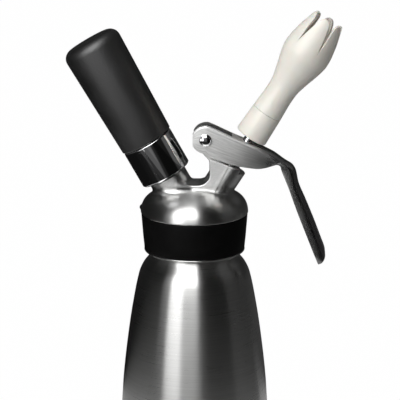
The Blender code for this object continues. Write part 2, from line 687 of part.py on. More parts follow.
def make_gas_side(looks, axis):
    adapter = add_object("charger_adapter", turned([
        (GAS_BORE_R, ADAPTER_U - SPIGOT_LENGTH), (SPIGOT_R, ADAPTER_U - SPIGOT_LENGTH),
        (SPIGOT_R, ADAPTER_U), (ADAPTER_R, ADAPTER_U), (ADAPTER_R, ADAPTER_TOP - ADAPTER_CHAMFER),
        (ADAPTER_R - ADAPTER_CHAMFER, ADAPTER_TOP), (CHARGER_NECK_BORE_R, ADAPTER_TOP),
        (CHARGER_NECK_BORE_R, NECK_BORE_FLOOR), (PIN_BORE_R, NECK_BORE_FLOOR),
        (PIN_BORE_R, PIN_BORE_FLOOR), (GAS_BORE_R, PIN_BORE_FLOOR),
    ], MID_SIDES), looks["plated_steel"], axis)
    ridge = thread_ridge(ADAPTER_R, CHARGER_RIDGE_HEIGHT, CHARGER_RIDGE_ROOT, CHARGER_RIDGE_CREST,
                         CHARGER_PITCH, CHARGER_TURNS, CHARGER_THREAD_U, MID_SIDES)
    combine(adapter, [add_object("adapter_ridge", ridge, parent=axis)], "UNION")

    pin_foot = PIN_BORE_FLOOR + GAP
    pin_neck = NECK_BORE_FLOOR - GAP
    pin_end = pin_neck + NEEDLE_LENGTH
    add_object("piercing_pin", turned([
        (NEEDLE_BORE_R, pin_foot), (PIN_BORE_R - GAP, pin_foot), (PIN_BORE_R - GAP, pin_neck),
        (NEEDLE_R, pin_neck), (NEEDLE_R, pin_end - NEEDLE_POINT),
        (NEEDLE_BORE_R + NEEDLE_POINT_WALL, pin_end), (NEEDLE_BORE_R, pin_end),
    ], SMALL_SIDES), looks["plated_steel"], axis)
    seal_u = NECK_BORE_FLOOR + GAP
    seal = tube(SEAL_IN_R, CHARGER_NECK_BORE_R - GAP, seal_u, seal_u + SEAL_THICK)
    add_object("charger_seal", seal, looks["seal_rubber"], axis)

    cup_bottom = CEILING_Z + DIFFUSER_RECESS - GAP - DIFFUSER_HEIGHT
    cup_in = DIFFUSER_R - DIFFUSER_WALL
    cup = add_object("gas_diffuser", turned([
        (DIFFUSER_HOLE_R, cup_bottom), (DIFFUSER_R, cup_bottom),
        (DIFFUSER_R, cup_bottom + DIFFUSER_HEIGHT), (cup_in, cup_bottom + DIFFUSER_HEIGHT),
        (cup_in, cup_bottom + DIFFUSER_FLOOR), (DIFFUSER_HOLE_R, cup_bottom + DIFFUSER_FLOOR),
    ], SMALL_SIDES), looks["plated_steel"])
    cup.location.x = CHARGER_X
    flap_z = cup_bottom + DIFFUSER_FLOOR + GAP
    flap = add_object("check_valve", rod(cup_in - CHECK_VALVE_ROOM, flap_z,
                                         flap_z + CHECK_VALVE_THICK), looks["seal_rubber"])
    flap.location.x = CHARGER_X


def make_cartridge(looks, axis):
    """A pierced gas cartridge: neck down at the pin, hollow, with a rounded far end."""
    body_u = CARTRIDGE_U + CARTRIDGE_NECK_LENGTH + CARTRIDGE_SHOULDER
    end_u = CARTRIDGE_TOP - CARTRIDGE_END
    shoulder_u = CARTRIDGE_U + CARTRIDGE_NECK_LENGTH
    outline = [
        (PIERCED_R, CARTRIDGE_U), (CARTRIDGE_NECK_R - CARTRIDGE_LIP_CHAMFER, CARTRIDGE_U),
        (CARTRIDGE_NECK_R, CARTRIDGE_U + CARTRIDGE_LIP_CHAMFER), (CARTRIDGE_NECK_R, shoulder_u),
    ]
    spread = CARTRIDGE_R - CARTRIDGE_NECK_R
    for step in range(1, ARC_STEPS + 1):
        turn = math.pi / 2 * step / ARC_STEPS
        outline.append((CARTRIDGE_NECK_R + spread * math.sin(turn),
                        body_u - CARTRIDGE_SHOULDER * math.cos(turn)))
    for step in range(ARC_STEPS + 1):
        turn = math.pi / 2 * step / ARC_STEPS
        outline.append((CARTRIDGE_R * math.cos(turn), end_u + CARTRIDGE_END * math.sin(turn)))
    outline[-1] = (0, CARTRIDGE_TOP)
    inner_r = CARTRIDGE_R - CARTRIDGE_WALL
    inner_end = CARTRIDGE_END - CARTRIDGE_WALL
    for step in range(ARC_STEPS, -1, -1):
        turn = math.pi / 2 * step / ARC_STEPS
        outline.append((inner_r * math.cos(turn), end_u + inner_end * math.sin(turn)))
    outline[-ARC_STEPS - 1] = (0, CARTRIDGE_TOP - CARTRIDGE_WALL)
    outline += [(inner_r, body_u), (PIERCED_R, shoulder_u + CARTRIDGE_WALL)]
    return add_object("cartridge", turned(outline, MID_SIDES), looks["plated_steel"], axis)


def make_holder(looks, axis):
    bore_top = ADAPTER_TOP + 2 * GAP
    tube_piece = add_object("holder_tube", turned([
        (TUBE_BORE_R, TUBE_U), (TUBE_FOOT_R, TUBE_U), (TUBE_FOOT_R, RING_TOP - TUBE_CORNER),
        (TUBE_R, RING_TOP - GAP), (TUBE_R, TUBE_TOP - TUBE_CORNER),
        (TUBE_R - TUBE_CORNER, TUBE_TOP), (0, TUBE_TOP), (0, TUBE_TOP - TUBE_END_WALL),
        (TUBE_IN_R, TUBE_TOP - TUBE_END_WALL), (TUBE_IN_R, bore_top), (TUBE_BORE_R, bore_top),
    ], MID_SIDES), looks["plated_steel"], axis)
    ridge_height = CHARGER_RIDGE_HEIGHT + CHARGER_RIDGE_EXTRA
    ridge = thread_ridge(TUBE_BORE_R, -ridge_height, CHARGER_RIDGE_ROOT, CHARGER_RIDGE_CREST,
                         CHARGER_PITCH, CHARGER_TURNS, CHARGER_THREAD_U + CHARGER_PITCH / 2,
                         MID_SIDES)
    combine(tube_piece, [add_object("tube_ridge", ridge, parent=axis)], "UNION")

    ring_in = TUBE_FOOT_R + GAP
    lip_in = CHARGER_BOSS_R + GAP
    add_object("holder_ring", turned([
        (lip_in, RING_U), (RING_R - RING_CHAMFER, RING_U), (RING_R, RING_U + RING_CHAMFER),
        (RING_R, RING_TOP - RING_CHAMFER), (RING_R - RING_CHAMFER, RING_TOP), (ring_in, RING_TOP),
        (ring_in, RING_U + RING_LIP), (lip_in, RING_U + RING_LIP),
    ], MID_SIDES), looks["chrome"], axis)

    sleeve_top = SLEEVE_U + SLEEVE_LENGTH
    sleeve_in = TUBE_R + GAP
    outline = [(sleeve_in, SLEEVE_U), (SLEEVE_R - SLEEVE_LIP, SLEEVE_U),
               (SLEEVE_R, SLEEVE_U + SLEEVE_LIP)]
    outline += arc((SLEEVE_END_R - SLEEVE_EDGE_R, sleeve_top - SLEEVE_CROWN - SLEEVE_EDGE_R),
                   SLEEVE_EDGE_R, 0, SLEEVE_EDGE_DEGREES)
    outline += [(0, sleeve_top), (0, TUBE_TOP + GAP), (sleeve_in, TUBE_TOP + GAP)]
    add_object("holder_sleeve", turned(outline, MID_SIDES), looks["black_rubber"], axis)


def make_valve(looks, axis):
    collar_foot = STEM_COLLAR_TOP - STEM_COLLAR_THICK
    tail_u = -SEAT_BOSS_DROP - GAP
    nut_top = tail_u - VALVE_SEAL_THICK - 2 * GAP
    nut_bottom = nut_top - SEAL_NUT_THICK
    shaft = turned([
        (0, nut_bottom - 2 * GAP), (STEM_TAIL_R, nut_bottom - 2 * GAP), (STEM_TAIL_R, tail_u + GAP),
        (STEM_LOW_R, tail_u + GAP), (STEM_LOW_R, FLANGE_U), (STEM_FLANGE_R, FLANGE_U),
        (STEM_FLANGE_R, FLANGE_TOP), (STEM_R, FLANGE_TOP),
        (STEM_R, collar_foot - STEM_COLLAR_THICK), (STEM_COLLAR_R, collar_foot),
        (STEM_COLLAR_R, STEM_COLLAR_TOP), (STEM_R, STEM_COLLAR_TOP), (STEM_R, TIP_BASE_LIFT),
        (STEM_CORE_R, TIP_BASE_LIFT + TIP_RIDGE_HEIGHT), (STEM_CORE_R, STEM_TOP),
        (STEM_BORE_R, STEM_TOP), (STEM_BORE_R, STEM_BORE_START), (0, STEM_BORE_START),
    ], SMALL_SIDES)
    stem = add_object("valve_stem", shaft, looks["chrome"], axis)
    ridge = thread_ridge(STEM_CORE_R, TIP_RIDGE_HEIGHT, TIP_RIDGE_ROOT, TIP_RIDGE_CREST,
                         TIP_PITCH, TIP_TURNS, STEM_THREAD_U, SMALL_SIDES)
    combine(stem, [add_object("stem_ridge", ridge, parent=axis)], "UNION")
    across = bore("cross_hole", STEM_CROSS_R, -CHAMBER_R, CHAMBER_R, axis)
    across.location.z = STEM_CROSS_U
    across.rotation_euler = (math.pi / 2, 0, 0)
    combine(stem, [across], "DIFFERENCE")

    hole_r = STEM_TAIL_R + GAP
    seal = tube(hole_r, VALVE_SEAL_R, tail_u - VALVE_SEAL_THICK, tail_u)
    add_object("valve_seal", seal, looks["seal_rubber"], axis)
    add_object("seal_nut", tube(hole_r, SEAL_NUT_R, nut_bottom, nut_top, 6), looks["plated_steel"],
               axis)
    guide = tube(STEM_R + GAP, CHAMBER_R - GAP, GUIDE_U, GUIDE_TOP)
    add_object("valve_guide", guide, looks["white_nylon"], axis)
    ring_r = STEM_R + GAP + O_RING_WIRE_R
    ring = torus(ring_r, O_RING_WIRE_R, GUIDE_TOP + GAP + O_RING_WIRE_R)
    add_object("guide_o_ring", ring, looks["seal_rubber"], axis)
    end_room = GAP + SPRING_WIRE_R
    spring = coil(SPRING_R, SPRING_WIRE_R, CHAMBER_FLOOR + end_room, FLANGE_U - end_room,
                  SPRING_TURNS)
    add_object("valve_spring", spring, looks["plated_steel"], axis)


def make_tip(looks, axis):
    washer = tube(WASHER_IN_R, TIP_BORE_R - GAP, WASHER_U, WASHER_U + WASHER_THICK)
    add_object("tip_washer", washer, looks["white_nylon"], axis)

    bottom = TIP_BASE_LIFT
    seam = TIP_BASE_LIFT + TIP_BASE_LENGTH
    outline = [(TIP_BORE_R, bottom)]
    outline += arc((TIP_BASE_R - TIP_BASE_EDGE, bottom + TIP_BASE_EDGE), TIP_BASE_EDGE, -90, 0, 4)
    outline += [
        (TIP_SEAM_R, seam - TIP_SEAM_CHAMFER), (TIP_SEAM_R - TIP_SEAM_CHAMFER, seam),
        (TIP_SPIGOT_R, seam), (TIP_SPIGOT_R, TIP_GROOVE_U - TIP_GROOVE_WIDTH / 2),
        (TIP_GROOVE_R, TIP_GROOVE_U - TIP_GROOVE_WIDTH / 2),
        (TIP_GROOVE_R, TIP_GROOVE_U + TIP_GROOVE_WIDTH / 2),
        (TIP_SPIGOT_R, TIP_GROOVE_U + TIP_GROOVE_WIDTH / 2), (TIP_SPIGOT_R, TIP_SPIGOT_TOP),
        (CREAM_BORE_R, TIP_SPIGOT_TOP), (CREAM_BORE_R, TIP_BORE_TOP), (TIP_BORE_R, TIP_BORE_TOP),
    ]
    base = add_object("tip_base", turned(outline, MID_SIDES), looks["ivory_plastic"], axis)
    ridge_height = TIP_BORE_R - STEM_CORE_R - TIP_RIDGE_HEIGHT / 2
    ridge = thread_ridge(TIP_BORE_R, -ridge_height, TIP_RIDGE_ROOT, TIP_RIDGE_CREST, TIP_PITCH,
                         TIP_TURNS, STEM_THREAD_U - TIP_PITCH / 2, MID_SIDES)
    combine(base, [add_object("base_ridge", ridge, parent=axis)], "UNION")

    ring_r = TIP_GROOVE_R + GAP + TIP_O_RING_WIRE_R
    ring = torus(ring_r, TIP_O_RING_WIRE_R, TIP_GROOVE_U, MID_SIDES)
    add_object("nozzle_o_ring", ring, looks["seal_rubber"], axis)

    outside = [(NOZZLE_R * out, NOZZLE_U + NOZZLE_LENGTH * up) for out, up in NOZZLE_SHARES]
    throat = TIP_SPIGOT_TOP + GAP
    socket_r = TIP_SPIGOT_R + GAP
    inside = [(socket_r, NOZZLE_U), (socket_r, throat)]
    for radius, height in outside:
        if height > throat + NOZZLE_THROAT_STEP:
            inside.append((radius - NOZZLE_WALL, height))
    nozzle = add_object("tulip_nozzle", turned(outside + inside[::-1], MID_SIDES),
                        looks["ivory_plastic"], axis)
    top = NOZZLE_U + NOZZLE_LENGTH
    cutters = []
    for index in range(PETALS // 2):
        slot = [
            (-SLOT_FOOT_WIDTH / 2, top - SLOT_LENGTH), (SLOT_FOOT_WIDTH / 2, top - SLOT_LENGTH),
            (SLOT_END_WIDTH / 2, top - PETAL_ROUND),
            (SLOT_END_WIDTH / 2 + PETAL_ROUND / 2, top + GAP),
            (-SLOT_END_WIDTH / 2 - PETAL_ROUND / 2, top + GAP),
            (-SLOT_END_WIDTH / 2, top - PETAL_ROUND),
        ]
        cutter = add_object("petal_slot", prism(slot, -2 * NOZZLE_R, 2 * NOZZLE_R), parent=axis)
        cutter.rotation_euler = (0, 0, SLOT_ANGLE + math.tau * index / PETALS)
        cutters.append(cutter)
    combine(nozzle, cutters, "DIFFERENCE")


def channel_ring(top, bottom, half, corner, sheet):
    """One section of the lever's channel: plate at the top, cheeks down to the bottom."""
    across, down = bottom[0] - top[0], bottom[1] - top[1]
    depth = math.hypot(across, down)
    corner = min(corner, depth * CORNER_MOST_SHARE)
    sheet = min(sheet, depth * SHEET_MOST_SHARE)
    inner_corner = max(corner - sheet, sheet * INNER_CORNER_SHARE)
    inner_half = half - sheet

    def curved(width, level, radius):
        points = []
        for step in range(CORNER_STEPS + 1):
            turn = math.pi / 2 * step / CORNER_STEPS
            points.append((width - radius + radius * math.cos(turn),
                           level + radius - radius * math.sin(turn)))
        return points

    outer = [(half, depth)] + curved(half, 0, corner)
    inner_level = min(sheet, depth * INNER_MOST_SHARE - inner_corner)
    inner = [(inner_half, depth)] + curved(inner_half, inner_level, inner_corner)
    loop = outer + [(-side, level) for side, level in outer[::-1]]
    loop += [(-side, level) for side, level in inner] + inner[::-1]
    return [
        (top[0] + across * level / depth, side, top[1] + down * level / depth)
        for side, level in loop
    ]


def lever_rings():
    """Sections from the nose round the pivot, along the plate, round the bend to the end."""
    rings = []
    for step in range(NOSE_STEPS + 1):
        turn = NOSE_START + (math.pi / 2 - NOSE_START) * step / NOSE_STEPS
        back, rise = -LEVER_NOSE_R * math.cos(turn), LEVER_NOSE_R * math.sin(turn)
        corner = LEVER_CORNER_R * LEVER_CORNER_SHARES[0]
        rings.append(channel_ring((back, rise), (back, -rise), LEVER_HALF, corner, LEVER_SHEET))
    for station, share in zip(LEVER_STATIONS_SHARES, LEVER_CORNER_SHARES):
        top_x, top_z, low_x, low_z = (LEVER_REACH * value for value in station)
        rings.append(channel_ring((top_x, top_z), (low_x, low_z), LEVER_HALF,
                                  LEVER_CORNER_R * share, LEVER_SHEET))
    bend_x, bend_z = (LEVER_REACH * value for value in LEVER_STATIONS_SHARES[-3][:2])
    along = (math.sin(TAIL_LEAN), -math.cos(TAIL_LEAN))
    inward = (-math.cos(TAIL_LEAN), -math.sin(TAIL_LEAN))
    for out_run, out_in, low_run, low_in, widen in TAIL_STATIONS_SHARES:
        ends = []
        for run, depth in ((out_run, out_in), (low_run, low_in)):
            step, sink = TAIL_LENGTH * run, TAIL_DEPTH * depth
            ends.append((bend_x + along[0] * step + inward[0] * sink,
                         bend_z + along[1] * step + inward[1] * sink))
        half = LEVER_HALF + (TAIL_HALF_END - LEVER_HALF) * widen
        rings.append(channel_ring(ends[0], ends[1], half,
                                  LEVER_CORNER_R * LEVER_CORNER_SHARES[-1], LEVER_SHEET))
    return rings


def make_lever(looks, pivot, valve_axis):
    lever = add_object("lever", loft(lever_rings()), looks["brushed_steel"], pivot)
    fork_half = LEVER_HALF - LEVER_SHEET + FORK_EASE
    left, right = -LEVER_NOSE_R - OVERRUN, FORK_END_X
    low, high = -LEVER_REACH / 2, LEVER_NOSE_R + OVERRUN
    fork = add_object("fork", prism([(left, low), (right, low), (right, high), (left, high)],
                                    -fork_half, fork_half), parent=pivot)
    hole = bore("lever_hole", PIVOT_PIN_R + GAP, -LEVER_HALF - OVERRUN, LEVER_HALF + OVERRUN, pivot)
    hole.rotation_euler = (math.pi / 2, 0, 0)
    slot_r = STEM_R + STEM_SLOT_ROOM
    slot = []
    for start, centre_x in zip(SLOT_END_DEGREES, (0, -STEM_SLOT_TRAVEL)):
        slot += arc((centre_x, 0), slot_r, start, start + HALF_TURN_DEGREES, steps=2 * ARC_STEPS)
    plate_cut = prism(slot, 0, STEM_SLOT_LENGTH)
    window = add_object("stem_slot", plate_cut, parent=valve_axis)
    window.rotation_euler = (math.pi / 2, 0, 0)
    window.location.z = STEM_COLLAR_TOP
    combine(lever, [fork, hole, window], "DIFFERENCE")
    return lever


def make_pivot(looks, pivot):
    """The pin's head is towards -Y, and its clip sits in a groove beyond the far cheek."""
    face = LEVER_HALF + GAP
    groove_end = face + CLIP_THICK + 2 * GAP
    outline = [
        (0, -groove_end - PIVOT_END), (PIVOT_PIN_R - GAP, -groove_end - PIVOT_END),
        (PIVOT_PIN_R, -groove_end - PIVOT_END + GAP), (PIVOT_PIN_R, -groove_end),
        (CLIP_GROOVE_R, -groove_end), (CLIP_GROOVE_R, -face), (PIVOT_PIN_R, -face),
        (PIVOT_PIN_R, face), (PIVOT_HEAD_R, face), (PIVOT_HEAD_R, face + GAP),
    ]
    for step in range(1, ARC_STEPS + 1):
        turn = math.pi / 2 * step / ARC_STEPS
        outline.append((PIVOT_HEAD_R * math.cos(turn),
                        face + GAP + (PIVOT_HEAD_THICK - GAP) * math.sin(turn)))
    outline[-1] = (0, face + PIVOT_HEAD_THICK)
    pin = add_object("pivot_pin", turned(outline, SMALL_SIDES), looks["chrome"], pivot)
    pin.rotation_euler = (math.pi / 2, 0, 0)
    clip = tube(CLIP_GROOVE_R + GAP, CLIP_R, -face - GAP - CLIP_THICK, -face - GAP)
    clip_piece = add_object("pivot_clip", clip, looks["plated_steel"], pivot)
    clip_piece.rotation_euler = (math.pi / 2, 0, 0)


def build():
    clear_scene()
    looks = make_materials()
    charger_axis = add_empty("charger_axis", (CHARGER_X, 0, CEILING_Z), CHARGER_LEAN)
    valve_axis = add_empty("valve_axis", (VALVE_X, 0, CEILING_Z), VALVE_LEAN)
    pivot = add_empty("lever_pivot", (PIVOT_X, 0, PIVOT_Z), 0)
    make_bottle(looks)
    make_gasket(looks)
    make_head(looks, charger_axis, valve_axis)
    make_grip_band(looks)
    make_gas_side(looks, charger_axis)
    make_cartridge(looks, charger_axis)
    make_holder(looks, charger_axis)
    make_valve(looks, valve_axis)
    make_tip(looks, valve_axis)
    make_lever(looks, pivot, valve_axis)
    make_pivot(looks, pivot)


build()
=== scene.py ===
# %% [markdown]
# # A whipped cream dispenser, dressed for the camera
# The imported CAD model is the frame: it fixes every place and every joint. This lesson puts
# smooth, finished pieces over it: a brushed bottle, a cast head, a mirror ring, a soft sleeve,
# a pressed lever and a moulded tulip tip. Each step says what the real piece is, how it could
# be made in Blender, and why it is made the way it is here.

# %% Load the frame
import json
import math

import bmesh
import bpy
import numpy as np
from mathutils import Matrix, Vector


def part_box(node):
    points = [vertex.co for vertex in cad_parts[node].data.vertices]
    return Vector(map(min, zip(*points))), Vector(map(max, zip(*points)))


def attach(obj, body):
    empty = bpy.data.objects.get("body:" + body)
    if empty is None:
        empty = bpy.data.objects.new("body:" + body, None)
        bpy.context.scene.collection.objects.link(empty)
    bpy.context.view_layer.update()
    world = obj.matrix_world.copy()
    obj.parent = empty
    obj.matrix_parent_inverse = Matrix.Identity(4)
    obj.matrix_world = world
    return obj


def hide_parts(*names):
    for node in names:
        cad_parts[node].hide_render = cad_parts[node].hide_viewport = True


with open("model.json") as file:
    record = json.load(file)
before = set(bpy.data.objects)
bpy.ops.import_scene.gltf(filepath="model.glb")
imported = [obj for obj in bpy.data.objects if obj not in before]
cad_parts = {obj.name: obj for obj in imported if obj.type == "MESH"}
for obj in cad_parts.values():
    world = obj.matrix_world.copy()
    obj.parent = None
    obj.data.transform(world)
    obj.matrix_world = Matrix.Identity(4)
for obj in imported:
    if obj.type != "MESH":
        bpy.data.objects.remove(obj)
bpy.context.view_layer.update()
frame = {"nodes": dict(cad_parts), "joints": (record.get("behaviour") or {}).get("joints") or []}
MM = 0.001

# %% [markdown]
# ## Places that every piece shares
# The charger holder, the valve and the lever each turn about a line that the frame's joints
# state. A matrix for each line lets a piece be drawn upright, with its own axis on Z, and then
# be laid onto the real axis, so nothing is placed by eye.


# %% Axes from the joints
def joint(name):
    return next(item for item in frame["joints"] if item["name"] == name)


def axis_frame(name):
    """Matrix that lays a piece drawn up the Z axis onto a joint's leaning axis."""
    data = joint(name)
    lean = math.atan2(data["axis"][0], data["axis"][2])
    return Matrix.Translation(data["pos_m"]) @ Matrix.Rotation(lean, 4, "Y")


UPRIGHT = Matrix.Identity(4)
CHARGER_AXIS = axis_frame("charger_turn")
VALVE_AXIS = axis_frame("tip_turn")
PIVOT = Vector(joint("lever_press")["pos_m"])
CEILING_Z = joint("charger_turn")["pos_m"][2]
print("charger axis from", [round(value, 4) for value in CHARGER_AXIS.translation])
print("valve axis from", [round(value, 4) for value in VALVE_AXIS.translation])

# %% [markdown]
# ## Camera
# The photograph looks down at the dispenser by about fifteen degrees, a little from the
# lever's side, through a long lens: the bottle's sides hardly converge. The distance and the
# lens below give the photograph's scale at the grip band, and the aim point puts the bottle's
# axis a little left of the middle. The bottle runs out of the bottom of the picture.

# %% Camera
CAMERA_AZIMUTH, CAMERA_ELEVATION = 3.0, 15.0
CAMERA_DISTANCE = 0.90
CAMERA_AIM = Vector((3.0 * MM, 0.0, 178.7 * MM))
PICTURE_WIDTH = 216.8 * MM


def linked(name, data):
    """A new object that holds this data, in the scene."""
    item = bpy.data.objects.new(name, data)
    bpy.context.scene.collection.objects.link(item)
    return item


def aim_from(item, azimuth, elevation, distance, centre):
    """Stand a camera or lamp at a bearing in degrees from a centre, and point it there."""
    turn, rise = math.radians(azimuth), math.radians(elevation)
    back = Vector((math.sin(turn) * math.cos(rise), -math.cos(turn) * math.cos(rise),
                   math.sin(rise)))
    item.location = centre + back * distance
    item.rotation_euler = (-back).to_track_quat("-Z", "Y").to_euler()


def add_camera():
    lens = bpy.data.cameras.new("camera")
    lens.lens = lens.sensor_width * CAMERA_DISTANCE / PICTURE_WIDTH
    lens.clip_start, lens.clip_end = 0.05, 20.0
    camera = linked("camera", lens)
    aim_from(camera, CAMERA_AZIMUTH, CAMERA_ELEVATION, CAMERA_DISTANCE, CAMERA_AIM)
    bpy.context.scene.camera = camera
    print("lens, mm:", round(lens.lens, 1))


add_camera()
bpy.context.scene.view_settings.view_transform = "Standard"

# %% [markdown]
# ## Studio
# Polished steel shows its surroundings, so the light matters as much as the metal. The
# photograph's bottle shows a broad white light at the front left, a dark stretch right of the
# middle and soft grey at both sides. A real studio gets this with a softbox and with pale and
# black cards round the table. Here one ring of cards lies on the floor, goes up the walls and
# closes over the object. Each stretch of the ring has its own brightness at each height, and
# only reflections see it. Two lamps light what is dull, and the floor and the world behind it
# look white to the camera.


# %% Node helpers
def new_tree(owner):
    owner.use_nodes = True
    owner.node_tree.nodes.clear()
    return owner.node_tree


def put(tree, socket, value):
    """Link an output to a socket, or give the socket a plain value."""
    if isinstance(value, bpy.types.NodeSocket):
        tree.links.new(value, socket)
    else:
        socket.default_value = value


def add_node(tree, kind, inputs=(), **settings):
    """Add a node with its own settings, then fill its inputs by name or by number."""
    node = tree.nodes.new(kind)
    for name, value in settings.items():
        setattr(node, name, value)
    for key, value in dict(inputs).items():
        put(tree, node.inputs[key], value)
    return node


def math_node(tree, operation, first, second=0.0):
    return add_node(tree, "ShaderNodeMath", {0: first, 1: second}, operation=operation).outputs[0]


def ranged(tree, value, low, high, start=0.3, end=0.7):
    """Turn the run of a value from start to end into a run from low to high."""
    return add_node(tree, "ShaderNodeMapRange", {
        "Value": value, "From Min": start, "From Max": end, "To Min": low, "To Max": high,
    }).outputs[0]


def seen_by(tree, first, *others):
    """1 for the named kinds of ray, and 0 for the rest, which light the object."""
    rays = add_node(tree, "ShaderNodeLightPath").outputs
    seen = rays[first]
    for other in others:
        seen = math_node(tree, "MAXIMUM", seen, rays[other])
    return seen


def to_mesh(name, solid):
    mesh = bpy.data.meshes.new(name)
    solid.to_mesh(mesh)
    solid.free()
    return mesh


# %% Floor, world and cards
WHITE = (1.0, 1.0, 1.0, 1.0)
FLOOR_SIZE = 4.0
FLOOR_COLOUR = (0.55, 0.55, 0.55, 1.0)
# Floor glow near the foot and far away; the lower glow near the foot is partly painted shade.
FLOOR_GLOW = (0.80, 0.995)
FLOOR_GLOW_REACH = (0.05, 0.17)
WORLD_STRENGTH = 0.22
# Each card's edges as (radius, height) in metres, from the object's foot to the ceiling
CARD_EDGES = ((0.04, 0.0015), (0.20, 0.0015), (0.50, 0.0015), (0.75, 0.0015), (0.75, 0.12),
              (0.75, 0.42), (0.75, 1.25), (0.0, 1.25))
# Azimuth in degrees where a sector starts, and the brightness of its cards from the foot up
CARD_SECTORS = (
    (-172.0, (0.90, 0.006, 0.006, 0.02, 0.015, 0.015, 0.02)),
    (-105.0, (0.90, 0.006, 0.006, 0.02, 0.02, 0.02, 0.04)),
    (-62.0, (0.60, 0.008, 0.02, 0.10, 0.26, 0.50, 1.00)),
    (-46.0, (0.60, 0.010, 0.06, 2.00, 1.55, 5.00, 3.60)),
    (-30.0, (0.60, 0.030, 0.06, 2.00, 1.55, 5.00, 3.60)),
    (-20.0, (0.50, 0.02, 0.03, 0.10, 0.14, 4.20, 3.60)),
    (10.0, (0.30, 0.02, 0.02, 0.02, 0.02, 0.10, 0.40)),
    (20.0, (0.30, 0.008, 0.004, 0.004, 0.004, 0.01, 0.04)),
    (68.0, (0.35, 0.03, 0.03, 0.05, 0.03, 0.09, 0.04)),
    (122.0, (0.90, 0.06, 0.06, 0.05, 0.02, 0.06, 0.03)),
    (188.0, (0.90, 0.006, 0.006, 0.02, 0.015, 0.015, 0.02)),
)
CARD_START = CARD_SECTORS[0][0]
CARD_STEP = 2.0
CARD_BLEND = 3.0
LAMP_AIM = Vector((0.0, 0.0, 0.18))


def painted(name, solid, finish, tree, shader):
    """An object in this finish, whose node tree ends in this shader."""
    item = linked(name, to_mesh(name, solid))
    add_node(tree, "ShaderNodeOutputMaterial", {"Surface": shader.outputs[0]})
    item.data.materials.append(bpy.data.materials[finish])
    return item


def add_floor():
    plane = bmesh.new()
    bmesh.ops.create_grid(plane, x_segments=1, y_segments=1, size=FLOOR_SIZE)
    tree = new_tree(bpy.data.materials.new("pale_floor"))
    dull = add_node(tree, "ShaderNodeBsdfDiffuse", {"Color": FLOOR_COLOUR})
    glow = add_node(tree, "ShaderNodeEmission", {"Color": WHITE, "Strength": 1.0})
    place = add_node(tree, "ShaderNodeTexCoord").outputs["Object"]
    reach = add_node(tree, "ShaderNodeVectorMath", {0: place}, operation="LENGTH")
    # Near the object's foot the floor glows less, so its real shadow shows there, and the lower
    # glow adds a painted shade round the foot.
    paper = ranged(tree, reach.outputs["Value"], *FLOOR_GLOW, *FLOOR_GLOW_REACH)
    seen = seen_by(tree, "Is Camera Ray", "Is Glossy Ray")
    share = math_node(tree, "MULTIPLY", seen, paper)
    floor = painted("floor", plane, "pale_floor", tree, add_node(
        tree, "ShaderNodeMixShader", {0: share, 1: dull.outputs[0], 2: glow.outputs[0]}))


def set_world():
    world = bpy.data.worlds.new("white_room")
    world.cycles_visibility.glossy = False
    bpy.context.scene.world = world
    tree = new_tree(world)
    seen = seen_by(tree, "Is Camera Ray", "Is Glossy Ray", "Is Transmission Ray")
    rise = math_node(tree, "MULTIPLY", seen, 1.0 - WORLD_STRENGTH)
    strength = math_node(tree, "ADD", rise, WORLD_STRENGTH)
    background = add_node(tree, "ShaderNodeBackground", {"Color": WHITE, "Strength": strength})
    add_node(tree, "ShaderNodeOutputWorld", {"Surface": background.outputs[0]})


def card_glow(azimuth, card):
    """Brightness of one card at an azimuth, with a soft change between two sectors."""
    value = CARD_SECTORS[0][1][card]
    for start, greys in CARD_SECTORS[1:]:
        share = min(1.0, max(0.0, 0.5 + (azimuth - start) / (2 * CARD_BLEND)))
        value += (greys[card] - value) * share
    return value


def add_cards():
    """Cards from the floor up and over the object, each face glowing in its own grey."""
    sheet = bmesh.new()
    columns, glow = [], []
    for step in range(round(360 / CARD_STEP)):
        angle = math.radians(CARD_START + step * CARD_STEP)
        columns.append([sheet.verts.new((radius * math.sin(angle), -radius * math.cos(angle),
                                         height)) for radius, height in CARD_EDGES])
    for step, (here, ahead) in enumerate(zip(columns, columns[1:] + columns[:1])):
        for card in range(len(CARD_EDGES) - 1):
            sheet.faces.new((here[card], ahead[card], ahead[card + 1], here[card + 1]))
            glow.append(card_glow(CARD_START + (step + 0.5) * CARD_STEP, card))
    tree = new_tree(bpy.data.materials.new("studio_cards"))
    grey = add_node(tree, "ShaderNodeAttribute", attribute_name="glow").outputs["Fac"]
    cards = painted("studio_cards", sheet, "studio_cards", tree, add_node(
        tree, "ShaderNodeEmission", {"Color": WHITE, "Strength": grey}))
    cards.data.attributes.new("glow", "FLOAT", "FACE").data.foreach_set("value", glow)
    for ray in ("camera", "diffuse", "shadow", "transmission"):
        setattr(cards, "visible_" + ray, False)
    print("card faces:", len(glow))


def add_softbox(name, azimuth, elevation, distance, width, height, watts):
    light = bpy.data.lights.new(name, "AREA")
    light.shape = "RECTANGLE"
    light.size, light.size_y = width, height
    light.energy = watts
    lamp = linked(name, light)
    lamp.visible_glossy = False
    aim_from(lamp, azimuth, elevation, distance, LAMP_AIM)


add_floor()
set_world()
add_cards()
add_softbox("softbox_left", -38, 28, 1.0, 0.45, 0.8, 7.1)
add_softbox("softbox_top", -25, 65, 1.1, 0.7, 0.7, 3.4)

# %% [markdown]
# ## Shape helpers
# Most pieces here were turned, drawn or moulded round an axis. On the real things no edge is
# razor sharp, so an outline is written with a small radius at each corner, and a spin of that
# outline already has the thin bright edge lines that a camera sees.


